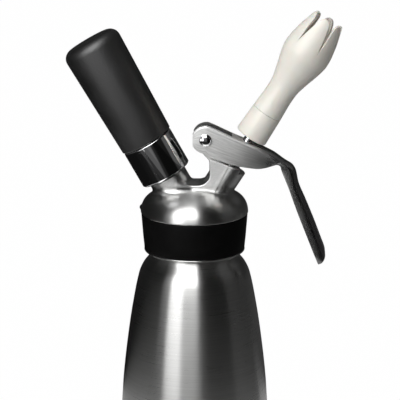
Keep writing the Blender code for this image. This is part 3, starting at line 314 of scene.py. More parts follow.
# %% Outlines
def soft_outline(corners, steps):
    """Round each corner of a closed outline of (across, up, radius) points."""
    points = []
    count = len(corners)
    for index, (across, up, radius) in enumerate(corners):
        here = Vector((across, up))
        if radius <= 0:
            points.append((across, up))
            continue
        before = Vector(corners[index - 1][:2]) - here
        after = Vector(corners[(index + 1) % count][:2]) - here
        half = before.angle(after) / 2
        reach = min(radius / math.tan(half), 0.48 * before.length, 0.48 * after.length)
        fitted = reach * math.tan(half)
        middle = here + (before.normalized() + after.normalized()).normalized() * (
            fitted / math.sin(half))
        start = here + before.normalized() * reach - middle
        end = here + after.normalized() * reach - middle
        turn = start.angle_signed(end)
        for step in range(steps + 1):
            spoke = start.copy()
            spoke.rotate(Matrix.Rotation(-turn * step / steps, 2))
            points.append(tuple(middle + spoke))
    return points


def through(rows, steps_for):
    """More rows on a smooth curve through the given ones, by cubic steps."""
    padded = [2 * rows[0] - rows[1], *rows, 2 * rows[-1] - rows[-2]]
    made = []
    for a, b, c, d in zip(padded, padded[1:], padded[2:], padded[3:]):
        count = steps_for(b, c)
        for step in range(count):
            t = step / count
            made.append(0.5 * (2 * b + (c - a) * t + (2 * a - 5 * b + 4 * c - d) * t * t
                               + (3 * b - a - 3 * c + d) * t ** 3))
    return made + [rows[-1]]


def smooth_line(points, spacing):
    return through([Vector(point) for point in points],
                   lambda start, end: max(1, round((end - start).length / spacing)))


def arc_points(centre, radius, start, end, steps):
    """Points on an arc, angles in degrees."""
    angles = [math.radians(start + (end - start) * step / steps) for step in range(steps + 1)]
    return [(centre[0] + radius * math.cos(angle), centre[1] + radius * math.sin(angle))
            for angle in angles]


# %% Solids
SMOOTH_ANGLE = math.radians(35)


def add_piece(name, solid, place=UPRIGHT, weld=1e-6):
    """Turn a bmesh into an object at the origin, with its place in its mesh."""
    bmesh.ops.transform(solid, matrix=place, verts=solid.verts)
    bmesh.ops.remove_doubles(solid, verts=solid.verts, dist=weld)
    bmesh.ops.recalc_face_normals(solid, faces=solid.faces)
    piece = linked(name, to_mesh(name, solid))
    piece.data.shade_smooth()
    piece.data.set_sharp_from_angle(angle=SMOOTH_ANGLE)
    return piece


def turned(name, corners, sides, steps=4, place=UPRIGHT):
    """Spin a closed outline of (radius, height, corner radius) points, in millimetres."""
    outline = soft_outline([[value * MM for value in corner] for corner in corners], steps)
    solid = bmesh.new()
    points = [solid.verts.new((max(radius, 0.0), 0.0, height)) for radius, height in outline]
    edges = [solid.edges.new(pair) for pair in zip(points, points[1:] + points[:1])
             if pair[0].co.x > 0 or pair[1].co.x > 0]
    bmesh.ops.spin(solid, geom=points + edges, cent=(0, 0, 0), axis=(0, 0, 1),
                   angle=math.tau, steps=sides, use_merge=True)
    return add_piece(name, solid, place)


def running(points):
    """Distances along a row of points, from its first."""
    lengths = [0.0]
    for first, second in zip(points, points[1:]):
        lengths.append(lengths[-1] + (second - first).length)
    return lengths


def loft(rings, brush=None):
    """Bridge closed rings of Vectors that have the same count, and cap both ends.

    A brush names a UV map that runs along the rings' row and round each ring, in metres.
    """
    solid = bmesh.new()
    count = len(rings[0])
    if brush:
        layer = solid.loops.layers.uv.new(brush)
        runs = running([sum(ring, Vector((0, 0, 0))) / count for ring in rings])
        widest = rings[len(rings) // 2]
        around = running(widest + widest[:1])
    loops = [[solid.verts.new(point) for point in ring] for ring in rings]
    for row, (lower, upper) in enumerate(zip(loops, loops[1:])):
        for index in range(count):
            following = (index + 1) % count
            face = solid.faces.new((lower[index], lower[following], upper[following],
                                    upper[index]))
            if brush:
                spots = ((row, index), (row, index + 1), (row + 1, index + 1), (row + 1, index))
                for corner, (along, side) in zip(face.loops, spots):
                    corner[layer].uv = (runs[along], around[side])
    solid.faces.new(loops[0])
    solid.faces.new(loops[-1])
    return solid


def baked(piece):
    """Replace a piece's mesh by its evaluated one, and drop its modifiers."""
    graph = bpy.context.evaluated_depsgraph_get()
    mesh = bpy.data.meshes.new_from_object(piece.evaluated_get(graph))
    mesh.name = piece.name
    piece.modifiers.clear()
    piece.data = mesh


def cut_away(piece, cutters):
    for cutter in cutters:
        modifier = piece.modifiers.new(cutter.name, "BOOLEAN")
        modifier.operation = "DIFFERENCE"
        modifier.solver = "EXACT"
        modifier.object = cutter
    baked(piece)
    for cutter in cutters:
        bpy.data.objects.remove(cutter, do_unlink=True)


# %% [markdown]
# ## Finishes
# Each finish is a small node tree on Object coordinates, so it sits still on its piece. The
# brushed steels use noise that is stretched along the brush's stroke: round the bottle, and
# along the lever. The stroke shifts colour and roughness a little and raises a very low bump.
# Moulded and rubber pieces get a fine grain and a slow unevenness instead.


# %% Finish helpers
def wire(tree, node, **values):
    """Fill a node's inputs; each name stands for an input, with _ for a space."""
    for label, value in values.items():
        put(tree, node.inputs[label.replace("_", " ")], value)


def finish_tree(name, colour, roughness, metallic=1.0, **values):
    """A Principled material; returns its tree, its shader and its coordinates."""
    tree = new_tree(bpy.data.materials.new(name))
    shader = add_node(tree, "ShaderNodeBsdfPrincipled")
    wire(tree, shader, Base_Color=(*colour, 1.0), Roughness=roughness, Metallic=metallic,
         **values)
    add_node(tree, "ShaderNodeOutputMaterial", {"Surface": shader.outputs[0]})
    return tree, shader, add_node(tree, "ShaderNodeTexCoord").outputs


def stretched_noise(tree, vector, scale, detail=4.0, rough=0.6):
    """Noise on coordinates scaled alike, or by a different amount along each axis."""
    scale = scale if isinstance(scale, tuple) else (scale,) * 3
    mapping = add_node(tree, "ShaderNodeMapping", {"Vector": vector, "Scale": scale})
    return add_node(tree, "ShaderNodeTexNoise", {
        "Vector": mapping.outputs[0], "Scale": 1.0, "Detail": detail, "Roughness": rough,
    }).outputs[0]


def tinted(tree, value, dark, light, start=0.3, end=0.7):
    """A colour between two, by a value's run from start to end."""
    ramp = add_node(tree, "ShaderNodeValToRGB", {0: value})
    for stop, position, colour in zip(ramp.color_ramp.elements, (start, end), (dark, light)):
        stop.position = position
        stop.color = (*colour, 1.0)
    return ramp.outputs[0]


def mixed(tree, share, first, second):
    """First colour where the share is 0, second where it is 1."""
    return add_node(tree, "ShaderNodeMix", {0: share, 6: first, 7: second},
                    data_type="RGBA").outputs[2]


def added(tree, *values):
    total = values[0]
    for value in values[1:]:
        total = math_node(tree, "ADD", total, value)
    return total


def bumped(tree, shader, value, height, strength):
    """Raise a bump from a value; its height is in millimetres."""
    bump = add_node(tree, "ShaderNodeBump", {
        "Height": value, "Distance": height * MM, "Strength": strength})
    wire(tree, shader, Normal=bump.outputs[0])


def lathe_tangent(tree):
    return add_node(tree, "ShaderNodeTangent", direction_type="RADIAL", axis="Z").outputs[0]


# %% Brushed and cast steel
# Where the lever's painted highlight at the nose ends and its painted shade on the tail is full, in
# metres along the lever.
LEVER_LIT_NOSE_END, LEVER_TAIL_START = 0.012, 0.048
BLAST_START_Z, BLAST_FADE = CEILING_Z + 11.2 * MM, 1.5 * MM
# Above this height the tongue's colour is painted shade from the lever's cheeks round it.
TONGUE_SHADE_START_Z, TONGUE_SHADE_FADE = PIVOT.z - 7.4 * MM, 1.0 * MM
LUG_SIDE_START, LUG_SIDE_END = -0.8 * MM, 1.6 * MM


def make_bottle_steel():
    """Drawn steel, brushed round and round on a lathe."""
    tree, shader, where = finish_tree("bottle_steel", (0.63, 0.63, 0.62), 0.29,
                                      Anisotropic=0.93, Anisotropic_Rotation=0.25)
    fine = stretched_noise(tree, where["Object"], (26.0, 26.0, 5200.0), 3.0)
    broad = stretched_noise(tree, where["Object"], (14.0, 14.0, 2400.0), 2.0)
    wear = stretched_noise(tree, where["Object"], 40.0, 5.0)
    wire(tree, shader, Tangent=lathe_tangent(tree),
         Base_Color=tinted(tree, broad, (0.60, 0.60, 0.59), (0.66, 0.66, 0.65), 0.35, 0.65),
         Roughness=added(tree, ranged(tree, fine, 0.27, 0.32),
                         ranged(tree, wear, -0.015, 0.02)))
    bumped(tree, shader, fine, 0.004, 0.3)


def make_lever_steel():
    """Sheet steel brushed along the lever; the stroke follows the piece's own UV map. Its colour is
    painted lighter at the nose, a painted highlight, and darker down the tail, a painted shade.
    """
    tree, shader, where = finish_tree("lever_steel", (0.7, 0.7, 0.69), 0.4,
                                      Anisotropic=0.35, Anisotropic_Rotation=0.25)
    along = stretched_noise(tree, where["UV"], (60.0, 2600.0, 1.0), 4.0, 0.7)
    wear = stretched_noise(tree, where["Object"], 60.0, 5.0)
    run = add_node(tree, "ShaderNodeSeparateXYZ", {0: where["UV"]}).outputs["X"]
    # The nose's light colour is a painted highlight and the tail's dark colour is painted shade;
    # metallic and roughness change along with them.
    tail = ranged(tree, run, 0.0, 1.0, LEVER_LIT_NOSE_END, LEVER_TAIL_START)
    lit_nose = tinted(tree, along, (0.66, 0.66, 0.65), (0.94, 0.94, 0.93), 0.35, 0.65)
    smooth = tinted(tree, along, (0.40, 0.40, 0.40), (0.52, 0.52, 0.51), 0.35, 0.65)
    stroke = add_node(tree, "ShaderNodeTangent", direction_type="UV_MAP", uv_map="brush")
    wire(tree, shader, Tangent=stroke.outputs[0], Base_Color=mixed(tree, tail, lit_nose, smooth),
         Metallic=ranged(tree, tail, 0.68, 1.0, 0.0, 1.0),
         Roughness=added(tree, ranged(tree, along, 0.46, 0.54), ranged(tree, wear, -0.03, 0.04),
                         math_node(tree, "MULTIPLY", tail, -0.22)))
    bumped(tree, shader, along, 0.03, 0.35)


def make_lever_inside():
    """The lever's inner side, never brushed: dull steel, its colour darkened as painted shade for
    the gap between the cheeks, with a mottled tone.
    """
    tree, shader, where = finish_tree("lever_inside", (0.16, 0.16, 0.155), 0.55)
    shade_mottle = stretched_noise(tree, where["Object"], 220.0, 5.0)
    # The inner side's dark colour is painted shade for the gap between the cheeks.
    wire(tree, shader, Base_Color=tinted(tree, shade_mottle, (0.10, 0.10, 0.097), (0.20, 0.20, 0.195)),
         Roughness=ranged(tree, shade_mottle, 0.62, 0.46))
    bumped(tree, shader, shade_mottle, 0.03, 0.4)


def make_cast_steel():
    """The head: a turned and polished dome, a bead-blasted lug, and a tongue darkened as painted
    shade where it sits between the lever's cheeks.
    """
    tree, shader, where = finish_tree("head_steel", (0.64, 0.64, 0.63), 0.3,
                                      Anisotropic_Rotation=0.25)
    place = where["Object"]
    height = add_node(tree, "ShaderNodeSeparateXYZ", {0: place}).outputs["Z"]
    normal = add_node(tree, "ShaderNodeSeparateXYZ", {0: where["Normal"]}).outputs["Y"]
    lathe = stretched_noise(tree, place, (40.0, 40.0, 4200.0), 3.0)
    beads = stretched_noise(tree, place, 2600.0, 2.0)
    cloud = stretched_noise(tree, place, 90.0)
    blasted = ranged(tree, height, 0.0, 1.0, BLAST_START_Z, BLAST_START_Z + BLAST_FADE)
    tongue_shade = ranged(tree, height, 0.0, 1.0, TONGUE_SHADE_START_Z, TONGUE_SHADE_START_Z + TONGUE_SHADE_FADE)
    aside = Vector((VALVE_AXIS.col[2][2], 0.0, -VALVE_AXIS.col[2][0]))
    axis_line = VALVE_AXIS.translation.dot(aside)
    lean = add_node(tree, "ShaderNodeVectorMath", {0: place, 1: aside}, operation="DOT_PRODUCT")
    lug_side = ranged(tree, lean.outputs["Value"], 1.0, 0.0, axis_line + LUG_SIDE_START,
                      axis_line + LUG_SIDE_END)
    sideways = ranged(tree, math_node(tree, "ABSOLUTE", normal), 0.0, 1.0, 0.86, 0.96)
    cheeks = math_node(tree, "MULTIPLY", math_node(tree, "MULTIPLY", blasted, sideways), lug_side)
    rough = add_node(tree, "ShaderNodeMix", {
        0: cheeks, 2: ranged(tree, lathe, 0.30, 0.36), 3: ranged(tree, cloud, 0.38, 0.46)})
    spots = added(tree, math_node(tree, "MULTIPLY", beads, 0.5),
                  math_node(tree, "MULTIPLY", cloud, 0.5))
    colour = tinted(tree, cloud, (0.60, 0.60, 0.59), (0.70, 0.70, 0.69))
    bead_colour = tinted(tree, spots, (0.70, 0.70, 0.69), (0.92, 0.92, 0.91), 0.38, 0.62)
    # The tongue's dark colour is painted shade, where it sits between the lever's cheeks.
    tongue_shade_colour = tinted(tree, cloud, (0.07, 0.07, 0.07), (0.13, 0.13, 0.125))
    for mask, layer in ((cheeks, bead_colour), (tongue_shade, tongue_shade_colour)):
        colour = mixed(tree, mask, colour, layer)
    wire(tree, shader, Base_Color=colour, Roughness=rough.outputs[0], Tangent=lathe_tangent(tree),
         Metallic=ranged(tree, cheeks, 1.0, 0.66, 0.0, 1.0),
         Anisotropic=ranged(tree, blasted, 0.9, 0.0, 0.0, 1.0))
    bumped(tree, shader, math_node(tree, "MULTIPLY", beads, blasted), 0.03, 0.5)


def make_chrome():
    """Mirror polish with faint wiping marks."""
    tree, shader, where = finish_tree("mirror_chrome", (0.86, 0.86, 0.87), 0.05)
    marks = stretched_noise(tree, where["Object"], (400.0, 400.0, 90.0), 6.0)
    wire(tree, shader, Roughness=ranged(tree, marks, 0.03, 0.09))
    bumped(tree, shader, marks, 0.004, 0.15)


# %% Rubber, plastic and the hidden finishes
def make_grain(name, dark, light, rough, grain, height, metallic=0.0, **values):
    """A moulded finish: cloudy colour, fine grain and a little unevenness in the gloss."""
    tree, shader, where = finish_tree(name, light, rough[1], metallic, **values)
    cloud = stretched_noise(tree, where["Object"], 70.0, 5.0)
    wire(tree, shader, Base_Color=tinted(tree, cloud, dark, light),
         Roughness=ranged(tree, cloud, *rough))
    bumped(tree, shader, stretched_noise(tree, where["Object"], grain, 2.0), height, 0.6)


make_bottle_steel()
make_lever_steel()
make_lever_inside()
make_cast_steel()
make_chrome()
make_grain("sleeve_rubber", (0.0006, 0.0006, 0.0006), (0.0016, 0.0016, 0.0017), (0.44, 0.52),
           900.0, 0.12, Specular_IOR_Level=1.0, IOR=1.6)
make_grain("band_rubber", (0.0012, 0.0012, 0.0012), (0.0025, 0.0025, 0.0025), (0.44, 0.54),
           1100.0, 0.04, Specular_IOR_Level=0.12)
make_grain("tip_plastic", (0.79, 0.757, 0.69), (0.83, 0.798, 0.733), (0.32, 0.40), 900.0,
           0.02, Subsurface_Weight=0.12, Subsurface_Scale=0.004)
make_grain("nylon", (0.80, 0.80, 0.77), (0.86, 0.86, 0.84), (0.40, 0.50), 1200.0, 0.02)
make_grain("silicone", (0.36, 0.035, 0.03), (0.46, 0.05, 0.04), (0.45, 0.6), 1400.0, 0.02)
make_grain("plated", (0.62, 0.61, 0.58), (0.74, 0.73, 0.70), (0.18, 0.32), 1600.0, 0.01,
           metallic=1.0)
print("finishes:", ", ".join(sorted(item.name for item in bpy.data.materials)))


def settle(piece, finish, body, slot, *nodes):
    """Give a finished piece its coat, its body and the CAD nodes it stands for; its slot is not
    used.
    """
    piece.data.materials.clear()
    piece.data.materials.append(bpy.data.materials[finish])
    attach(piece, body)
    if nodes:
        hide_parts(*nodes)
    piece.data.calc_loop_triangles()
    print(piece.name, len(piece.data.loop_triangles), "triangles")
    return piece


# %% [markdown]
# ## Bottle
# The body is one cup of steel, drawn deep and necked in on a press: a straight wall, a long
# shoulder that curves in ever faster, and a neck. Every section across it is a circle, so one
# outline and a spin make all of it. The radius and the lip come from the CAD node itself.

# %% Bottle sizes, in millimetres
BOTTLE_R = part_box("bottle")[1][0] / MM
LIP_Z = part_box("bottle")[1][2] / MM
STRAIGHT_Z = 45.0
NECK_R = 22.6
NECK_ROOT_Z = LIP_Z - 13.4
NECK_WALL = 1.4
BODY_WALL = 1.0
BASE_CORNER_R = 6.0
BASE_INSIDE_Z = 2.4
SHOULDER_SHARES = (
    (0.0, 1.0), (0.093, 0.987), (0.219, 0.944), (0.31, 0.905), (0.408, 0.847), (0.533, 0.756),
    (0.658, 0.649), (0.783, 0.520), (0.847, 0.438), (0.878, 0.386), (0.909, 0.300),
    (0.925, 0.236), (0.940, 0.165), (0.956, 0.098), (0.972, 0.050), (0.992, 0.018), (1.0, 0.0),
)
print("bottle radius, mm:", round(BOTTLE_R, 2), "lip, mm:", round(LIP_Z, 1))

# %% [markdown]
# The outline below is the drawn cup's section: base with a ring pressed into it, a soft corner,
# the straight wall, the shoulder through the points that the photograph gives, and the neck.
# The inner face is the same line moved in by the sheet's thickness, so looking in through the
# neck shows real steel.


# %% Bottle
def inset_line(line, distance):
    """Move an open line sideways, to its left, by a distance."""
    moved = []
    for index, point in enumerate(line):
        along = (line[min(index + 1, len(line) - 1)] - line[max(index - 1, 0)]).normalized()
        moved.append(point + Vector((-along.y, along.x)) * distance)
    return moved


def make_bottle():
    spread, rise = BOTTLE_R - NECK_R, NECK_ROOT_Z - STRAIGHT_Z
    shoulder = smooth_line([(NECK_R + spread * across, STRAIGHT_Z + rise * up)
                            for up, across in SHOULDER_SHARES], 1.2)
    inner = inset_line(shoulder[:-6], BODY_WALL)
    return turned("bottle_body", [
        (0, 0, 0), (26.4, 0, 0.6), (27.6, 0.8, 0.6), (31.4, 0.8, 0.6), (32.6, 0, 0.6),
        (BOTTLE_R, 0, BASE_CORNER_R), (BOTTLE_R, 15, 0), (BOTTLE_R, 30, 0),
        *((*point, 0) for point in shoulder),
        (NECK_R, LIP_Z, 0.5), (NECK_R - NECK_WALL, LIP_Z, 0.5),
        (NECK_R - NECK_WALL, NECK_ROOT_Z - 1.5, 1.0),
        *((*point, 0) for point in inner[::-1]),
        (BOTTLE_R - BODY_WALL, BASE_INSIDE_Z, 4.5), (0, BASE_INSIDE_Z, 0),
    ], 192, 6)


settle(make_bottle(), "bottle_steel", "bottle", "brushed_steel", "bottle")

# %% [markdown]
# ## Screw threads
# A thread is one short section carried along a helix, which is work for Geometry Nodes: a
# spiral curve, a trapezium as its profile, and a radius that falls to nothing at both ends so
# the ridge runs out as a rolled or moulded thread does. The same tree makes the bottle's neck
# thread, the one inside the head and the fine one on the valve stem, each from its own inputs.


# %% Thread tree
def new_geometry_tree(name, inputs):
    """A tree with these inputs and a material; returns it and its inputs' sockets."""
    tree = bpy.data.node_groups.new(name, "GeometryNodeTree")
    for label, value in inputs.items():
        kind = "NodeSocketInt" if isinstance(value, int) else "NodeSocketFloat"
        tree.interface.new_socket(label, in_out="INPUT", socket_type=kind).default_value = value
    tree.interface.new_socket("Material", in_out="INPUT", socket_type="NodeSocketMaterial")
    tree.interface.new_socket("Geometry", in_out="OUTPUT", socket_type="NodeSocketGeometry")
    return tree, tree.nodes.new("NodeGroupInput").outputs


def finish_geometry_tree(tree, value, geometry):
    """End a tree with Realize Instances, smooth shading and the material from its input."""
    real = add_node(tree, "GeometryNodeRealizeInstances", {0: geometry})
    shade = add_node(tree, "GeometryNodeSetShadeSmooth", {"Geometry": real.outputs[0]})
    paint = add_node(tree, "GeometryNodeSetMaterial", {
        "Geometry": shade.outputs[0], "Material": value["Material"]})
    add_node(tree, "NodeGroupOutput", {0: paint.outputs[0]})
    return tree


def moved(tree, geometry, rotation=(0.0, 0.0, 0.0), **shift):
    """Geometry turned, then moved along the named axes."""
    offset = add_node(tree, "ShaderNodeCombineXYZ", shift).outputs[0]
    return add_node(tree, "GeometryNodeTransform", {
        "Geometry": geometry, "Translation": offset, "Rotation": rotation}).outputs[0]


def make_thread_tree():
    tree, value = new_geometry_tree("screw_thread", {
        "Wall Radius": 22.6 * MM, "Ridge Height": 0.9 * MM, "Root Width": 1.4 * MM,
        "Crest Width": 0.7 * MM, "Pitch": 4.0 * MM, "Turns": 2.0, "Start Height": 0.0,
    })
    helix = add_node(tree, "GeometryNodeCurveSpiral", {
        "Resolution": 72, "Reverse": True, "Rotations": value["Turns"],
        "Start Radius": value["Wall Radius"], "End Radius": value["Wall Radius"],
        "Height": math_node(tree, "MULTIPLY", value["Pitch"], value["Turns"]),
    })
    upright = add_node(tree, "GeometryNodeSetCurveNormal", {"Curve": helix.outputs[0]},
                       mode="Z_UP")
    share = add_node(tree, "GeometryNodeSplineParameter").outputs["Factor"]
    from_ends = math_node(tree, "MINIMUM", share, math_node(tree, "SUBTRACT", 1.0, share))
    fade = math_node(tree, "MINIMUM", math_node(tree, "MULTIPLY", from_ends, 16.0), 1.0)
    faded = add_node(tree, "GeometryNodeSetCurveRadius", {
        "Curve": upright.outputs[0], "Radius": math_node(tree, "MAXIMUM", fade, 0.05)})
    section = add_node(tree, "GeometryNodeCurvePrimitiveQuadrilateral", {
        "Bottom Width": value["Root Width"], "Top Width": value["Crest Width"], "Offset": 0.0,
        "Height": math_node(tree, "MULTIPLY", value["Ridge Height"], 1.3),
    }, mode="TRAPEZOID")
    profile = moved(tree, section.outputs[0], (0.0, 0.0, math.pi / 2),
                    X=math_node(tree, "MULTIPLY", value["Ridge Height"], -0.35))
    sweep = add_node(tree, "GeometryNodeCurveToMesh", {
        "Curve": faded.outputs[0], "Profile Curve": profile, "Fill Caps": True})
    return finish_geometry_tree(tree, value, moved(tree, sweep.outputs[0],
                                                   Z=value["Start Height"]))


def grown(name, tree, settings, place=UPRIGHT):
    """A piece made by a geometry tree with its inputs set, baked and laid into place."""
    piece = linked(name, bpy.data.meshes.new(name))
    modifier = piece.modifiers.new(tree.name, "NODES")
    modifier.node_group = tree
    for item in tree.interface.items_tree:
        if item.in_out == "INPUT" and item.name in settings:
            modifier[item.identifier] = settings[item.name]
    baked(piece)
    piece.data.transform(place)
    return piece


THREAD_TREE = make_thread_tree()


def add_thread(name, finish, turns, place=UPRIGHT, **sizes):
    """A thread ridge; sizes are in millimetres, with _ for a space in an input's name."""
    settings = {label.replace("_", " "): value * MM for label, value in sizes.items()}
    settings.update({"Turns": turns, "Material": bpy.data.materials[finish]})
    return grown(name, THREAD_TREE, settings, place)


NECK_RIDGE = {"Root_Width": 1.4, "Crest_Width": 0.7, "Pitch": 4.0}
neck_thread = settle(
    add_thread("neck_thread", "bottle_steel", 2.0, Wall_Radius=NECK_R, Ridge_Height=0.9,
               Start_Height=LIP_Z - 9.0, **NECK_RIDGE),
    "bottle_steel", "bottle", "brushed_steel")
low, high = neck_thread.data.vertices[0].co, neck_thread.data.vertices[-1].co
print("thread runs from z", round(low.z / MM, 2), "to", round(high.z / MM, 2), "mm")

# %% [markdown]
# ## Cast head
# The head is an investment casting: a dome with two bosses that lean apart, a web over the top
# and a lug that carries the lever. Its looks come from the soft fillets where these meet.
# Here each part is a distance field, a rule that tells how far any point is from the surface.
# Fields join with a fillet by one formula, so the whole casting becomes one field. A net of
# small faces is then drawn where the field is zero, and pulled onto it exactly.


# %% Distance fields, in millimetres
def outline_distance(points, outline):
    """Signed distance from 2-D points to a closed outline, negative inside."""
    nearest = np.full(len(points), 1e9)
    inside = np.zeros(len(points), bool)
    across, up = points[:, 0], points[:, 1]
    for (ax, ay), (bx, by) in zip(outline, outline[1:] + outline[:1]):
        ex, ey = bx - ax, by - ay
        wx, wy = across - ax, up - ay
        share = np.clip((wx * ex + wy * ey) / max(ex * ex + ey * ey, 1e-12), 0.0, 1.0)
        nearest = np.minimum(nearest, (wx - ex * share) ** 2 + (wy - ey * share) ** 2)
        if ay != by:
            inside ^= ((ay > up) != (by > up)) & (across < ex * (up - ay) / ey + ax)
    return np.where(inside, -1.0, 1.0) * np.sqrt(nearest)


class OutlineTable:
    """An outline's distance on a fine grid, read back between the grid's points."""

    def __init__(self, outline, margin=12.0, step=0.1):
        places = np.array(outline)
        self.low = places.min(0) - margin
        self.step = step
        counts = np.ceil((places.max(0) + margin - self.low) / step).astype(int) + 2
        grid = np.stack(np.meshgrid(*(np.arange(count) for count in counts), indexing="ij"), -1)
        flat = self.low + grid.reshape(-1, 2) * step
        self.values = outline_distance(flat, outline).reshape(counts)

    def __call__(self, across, up):
        i = np.clip((across - self.low[0]) / self.step, 0, self.values.shape[0] - 1.001)
        j = np.clip((up - self.low[1]) / self.step, 0, self.values.shape[1] - 1.001)
        i0, j0 = i.astype(int), j.astype(int)
        s, t = i - i0, j - j0
        left, right = (self.values[k, j0] * (1 - t) + self.values[k, j0 + 1] * t
                       for k in (i0, i0 + 1))
        return left * (1 - s) + right * s


def soft_join(first, second, fillet):
    """Union of two fields with a round fillet where they meet."""
    gap = np.hypot(np.maximum(fillet - first, 0.0), np.maximum(fillet - second, 0.0))
    return np.maximum(fillet, np.minimum(first, second)) - gap


def soft_cut(body, tool, edge):
    """Body without tool, its new edges rounded."""
    return -soft_join(-body, tool, edge)


def soft_meet(first, second, edge):
    """What two fields have in common, its new edges rounded."""
    return -soft_join(-first, -second, edge)


def both_within(across, along, edge):
    """A body from its distances across and along, with soft edges."""
    across, along = across + edge, along + edge
    outside = np.hypot(np.maximum(across, 0.0), np.maximum(along, 0.0))
    return np.minimum(np.maximum(across, along), 0.0) + outside - edge


def rod_field(points, axis, radius, bottom, top, edge):
    """A round rod on an axis (a matrix), from one height to another, with soft end edges."""
    offset = points - np.array(axis.translation) / MM
    height = offset @ np.array(axis.col[2][:3])
    reach = np.sqrt(np.maximum((offset ** 2).sum(1) - height ** 2, 0.0))
    return both_within(reach - radius, np.abs(height - (bottom + top) / 2) - (top - bottom) / 2,
                       edge)


def slab_field(points, table, half):
    """An outline in the x-z plane, extruded to both sides of y = 0, with soft edges."""
    return both_within(table(points[:, 0], points[:, 2]), np.abs(points[:, 1]) - half, SLAB_EDGE)


# %% Head sizes, in millimetres
CEILING = CEILING_Z / MM
PIVOT_X, PIVOT_Z = PIVOT.x / MM, PIVOT.z / MM
HEAD_SPLIT_Z = 170.0
SEAT_Z = 169.1
SKIRT_LOW_Z = 151.4
SKIRT_BORE_R, SKIRT_R = 24.0, 25.6
FLANGE_R, FLANGE_THICK = 27.4, 0.9
CAVITY_R, CAVITY_EDGE = 20.3, 0.8
DOME_BASE_Z, DOME_HEIGHT = 172.3, 14.7
DOME_R, DOME_EDGE = 29.2, 0.5
DOME_SHARES = (
    (1.0, 0.0), (0.999, 0.06), (0.994, 0.14), (0.984, 0.24), (0.966, 0.34), (0.942, 0.43),
    (0.906, 0.52), (0.858, 0.60), (0.792, 0.675), (0.70, 0.75), (0.57, 0.825), (0.40, 0.90),
    (0.205, 0.965), (0.0, 1.0),
)
NUB_PLACE = np.array((1.5 - DOME_R, 0.0, DOME_BASE_Z + 2.1))
NUB_SIZES = np.array((2.2, 2.8, 1.7))
SLAB_EDGE = 0.5
LUG_HALF = 8.5
LUG_LEFT_X, LUG_RIGHT_X = 8.6, 29.0
LUG_RIGHT_RISE = 19.4
LUG_SLOPE = 0.3833
WEB_LEFT_X = -9.0
WEB_TOP_Z, WEB_DEPTH = 188.8, 6.0
WEB_FILLET = 6.5
CHANNEL_DEPTH, CHANNEL_HALF = 2.5, 6.6
TONGUE_R, TONGUE_HALF = 6.6, 3.8
TONGUE_FOOT_RISE, TONGUE_FOOT_LENGTH = 24.4, 5.4
PIN_HOLE_R = 2.2
# Rods as radius, bottom, top and edge
CHARGER_BOSS = (10.6, 2.0, 18.0, 0.7)
VALVE_BOSS = (8.52, 3.0, 34.0, 0.3)
VALVE_SEAT = (6.0, -3.0, 5.0, 0.3)
# Bores as axis, radius, bottom, top and the rounding of their mouths
BORES = (
    (VALVE_AXIS, 5.6, 8.0, 40.0, 0.3), (VALVE_AXIS, 3.6, -9.0, 12.0, 0.2),
    (CHARGER_AXIS, 5.3, 10.0, 26.0, 0.3), (CHARGER_AXIS, 1.3, -3.0, 14.0, 0.1),
)
INLET_R, INLET_HALF = 4.9, 2.0


def lug_top(x):
    return CEILING + LUG_RIGHT_RISE + (LUG_RIGHT_X - x) * LUG_SLOPE


def dome_outline():
    places = [(DOME_R * out, DOME_BASE_Z + DOME_HEIGHT * up) for out, up in DOME_SHARES]
    skin = [tuple(point) for point in smooth_line(places, 0.4)]
    skin[0] = (DOME_R, DOME_BASE_Z + DOME_EDGE)
    wall = CAVITY_R - CAVITY_EDGE
    cavity = [(0.0, CEILING), (wall, CEILING)]
    cavity += arc_points((wall, CEILING - CAVITY_EDGE), CAVITY_EDGE, 90, 0, 4)
    foot = [(CAVITY_R, HEAD_SPLIT_Z), (SKIRT_R, HEAD_SPLIT_Z), (SKIRT_R, DOME_BASE_Z)]
    rim = arc_points((DOME_R - DOME_EDGE, DOME_BASE_Z + DOME_EDGE), DOME_EDGE, -90, 0, 4)
    return foot + rim + skin + cavity


def lug_outline():
    lean = VALVE_AXIS.col[2][0] / VALVE_AXIS.col[2][2]
    axis_x = VALVE_AXIS.translation.x / MM
    foot_z = WEB_TOP_Z - WEB_DEPTH
    top_x = (axis_x + (lug_top(0) - CEILING) * lean) / (1 + LUG_SLOPE * lean)
    outline = [(WEB_LEFT_X, foot_z), (WEB_LEFT_X, WEB_TOP_Z)]
    outline += arc_points((LUG_LEFT_X - WEB_FILLET, WEB_TOP_Z + WEB_FILLET), WEB_FILLET,
                          -90, 0, 16)
    outline += [(LUG_LEFT_X, lug_top(LUG_LEFT_X) + 4), (top_x, lug_top(top_x) + 4)]
    outline.append((axis_x + (foot_z - CEILING) * lean, foot_z))
    return outline


def tongue_outline():
    foot_z = CEILING + TONGUE_FOOT_RISE
    feet = ((LUG_LEFT_X, foot_z), (LUG_LEFT_X + TONGUE_FOOT_LENGTH, foot_z))
    angles = []
    for (foot_x, foot_z), side in zip(feet, (-1, 1)):
        across, down = foot_x - PIVOT_X, foot_z - PIVOT_Z
        spread = math.acos(TONGUE_R / math.hypot(across, down))
        angles.append(math.degrees(math.atan2(down, across) + side * spread))
    nose = arc_points((PIVOT_X, PIVOT_Z), TONGUE_R, angles[1], angles[0] + 360, 40)
    left, right = feet
    return nose + [left, (left[0], left[1] - 5.0), (right[0], right[1] - 5.0), right]


DOME_TABLE, LUG_TABLE, TONGUE_TABLE = (
    OutlineTable(outline) for outline in (dome_outline(), lug_outline(), tongue_outline()))


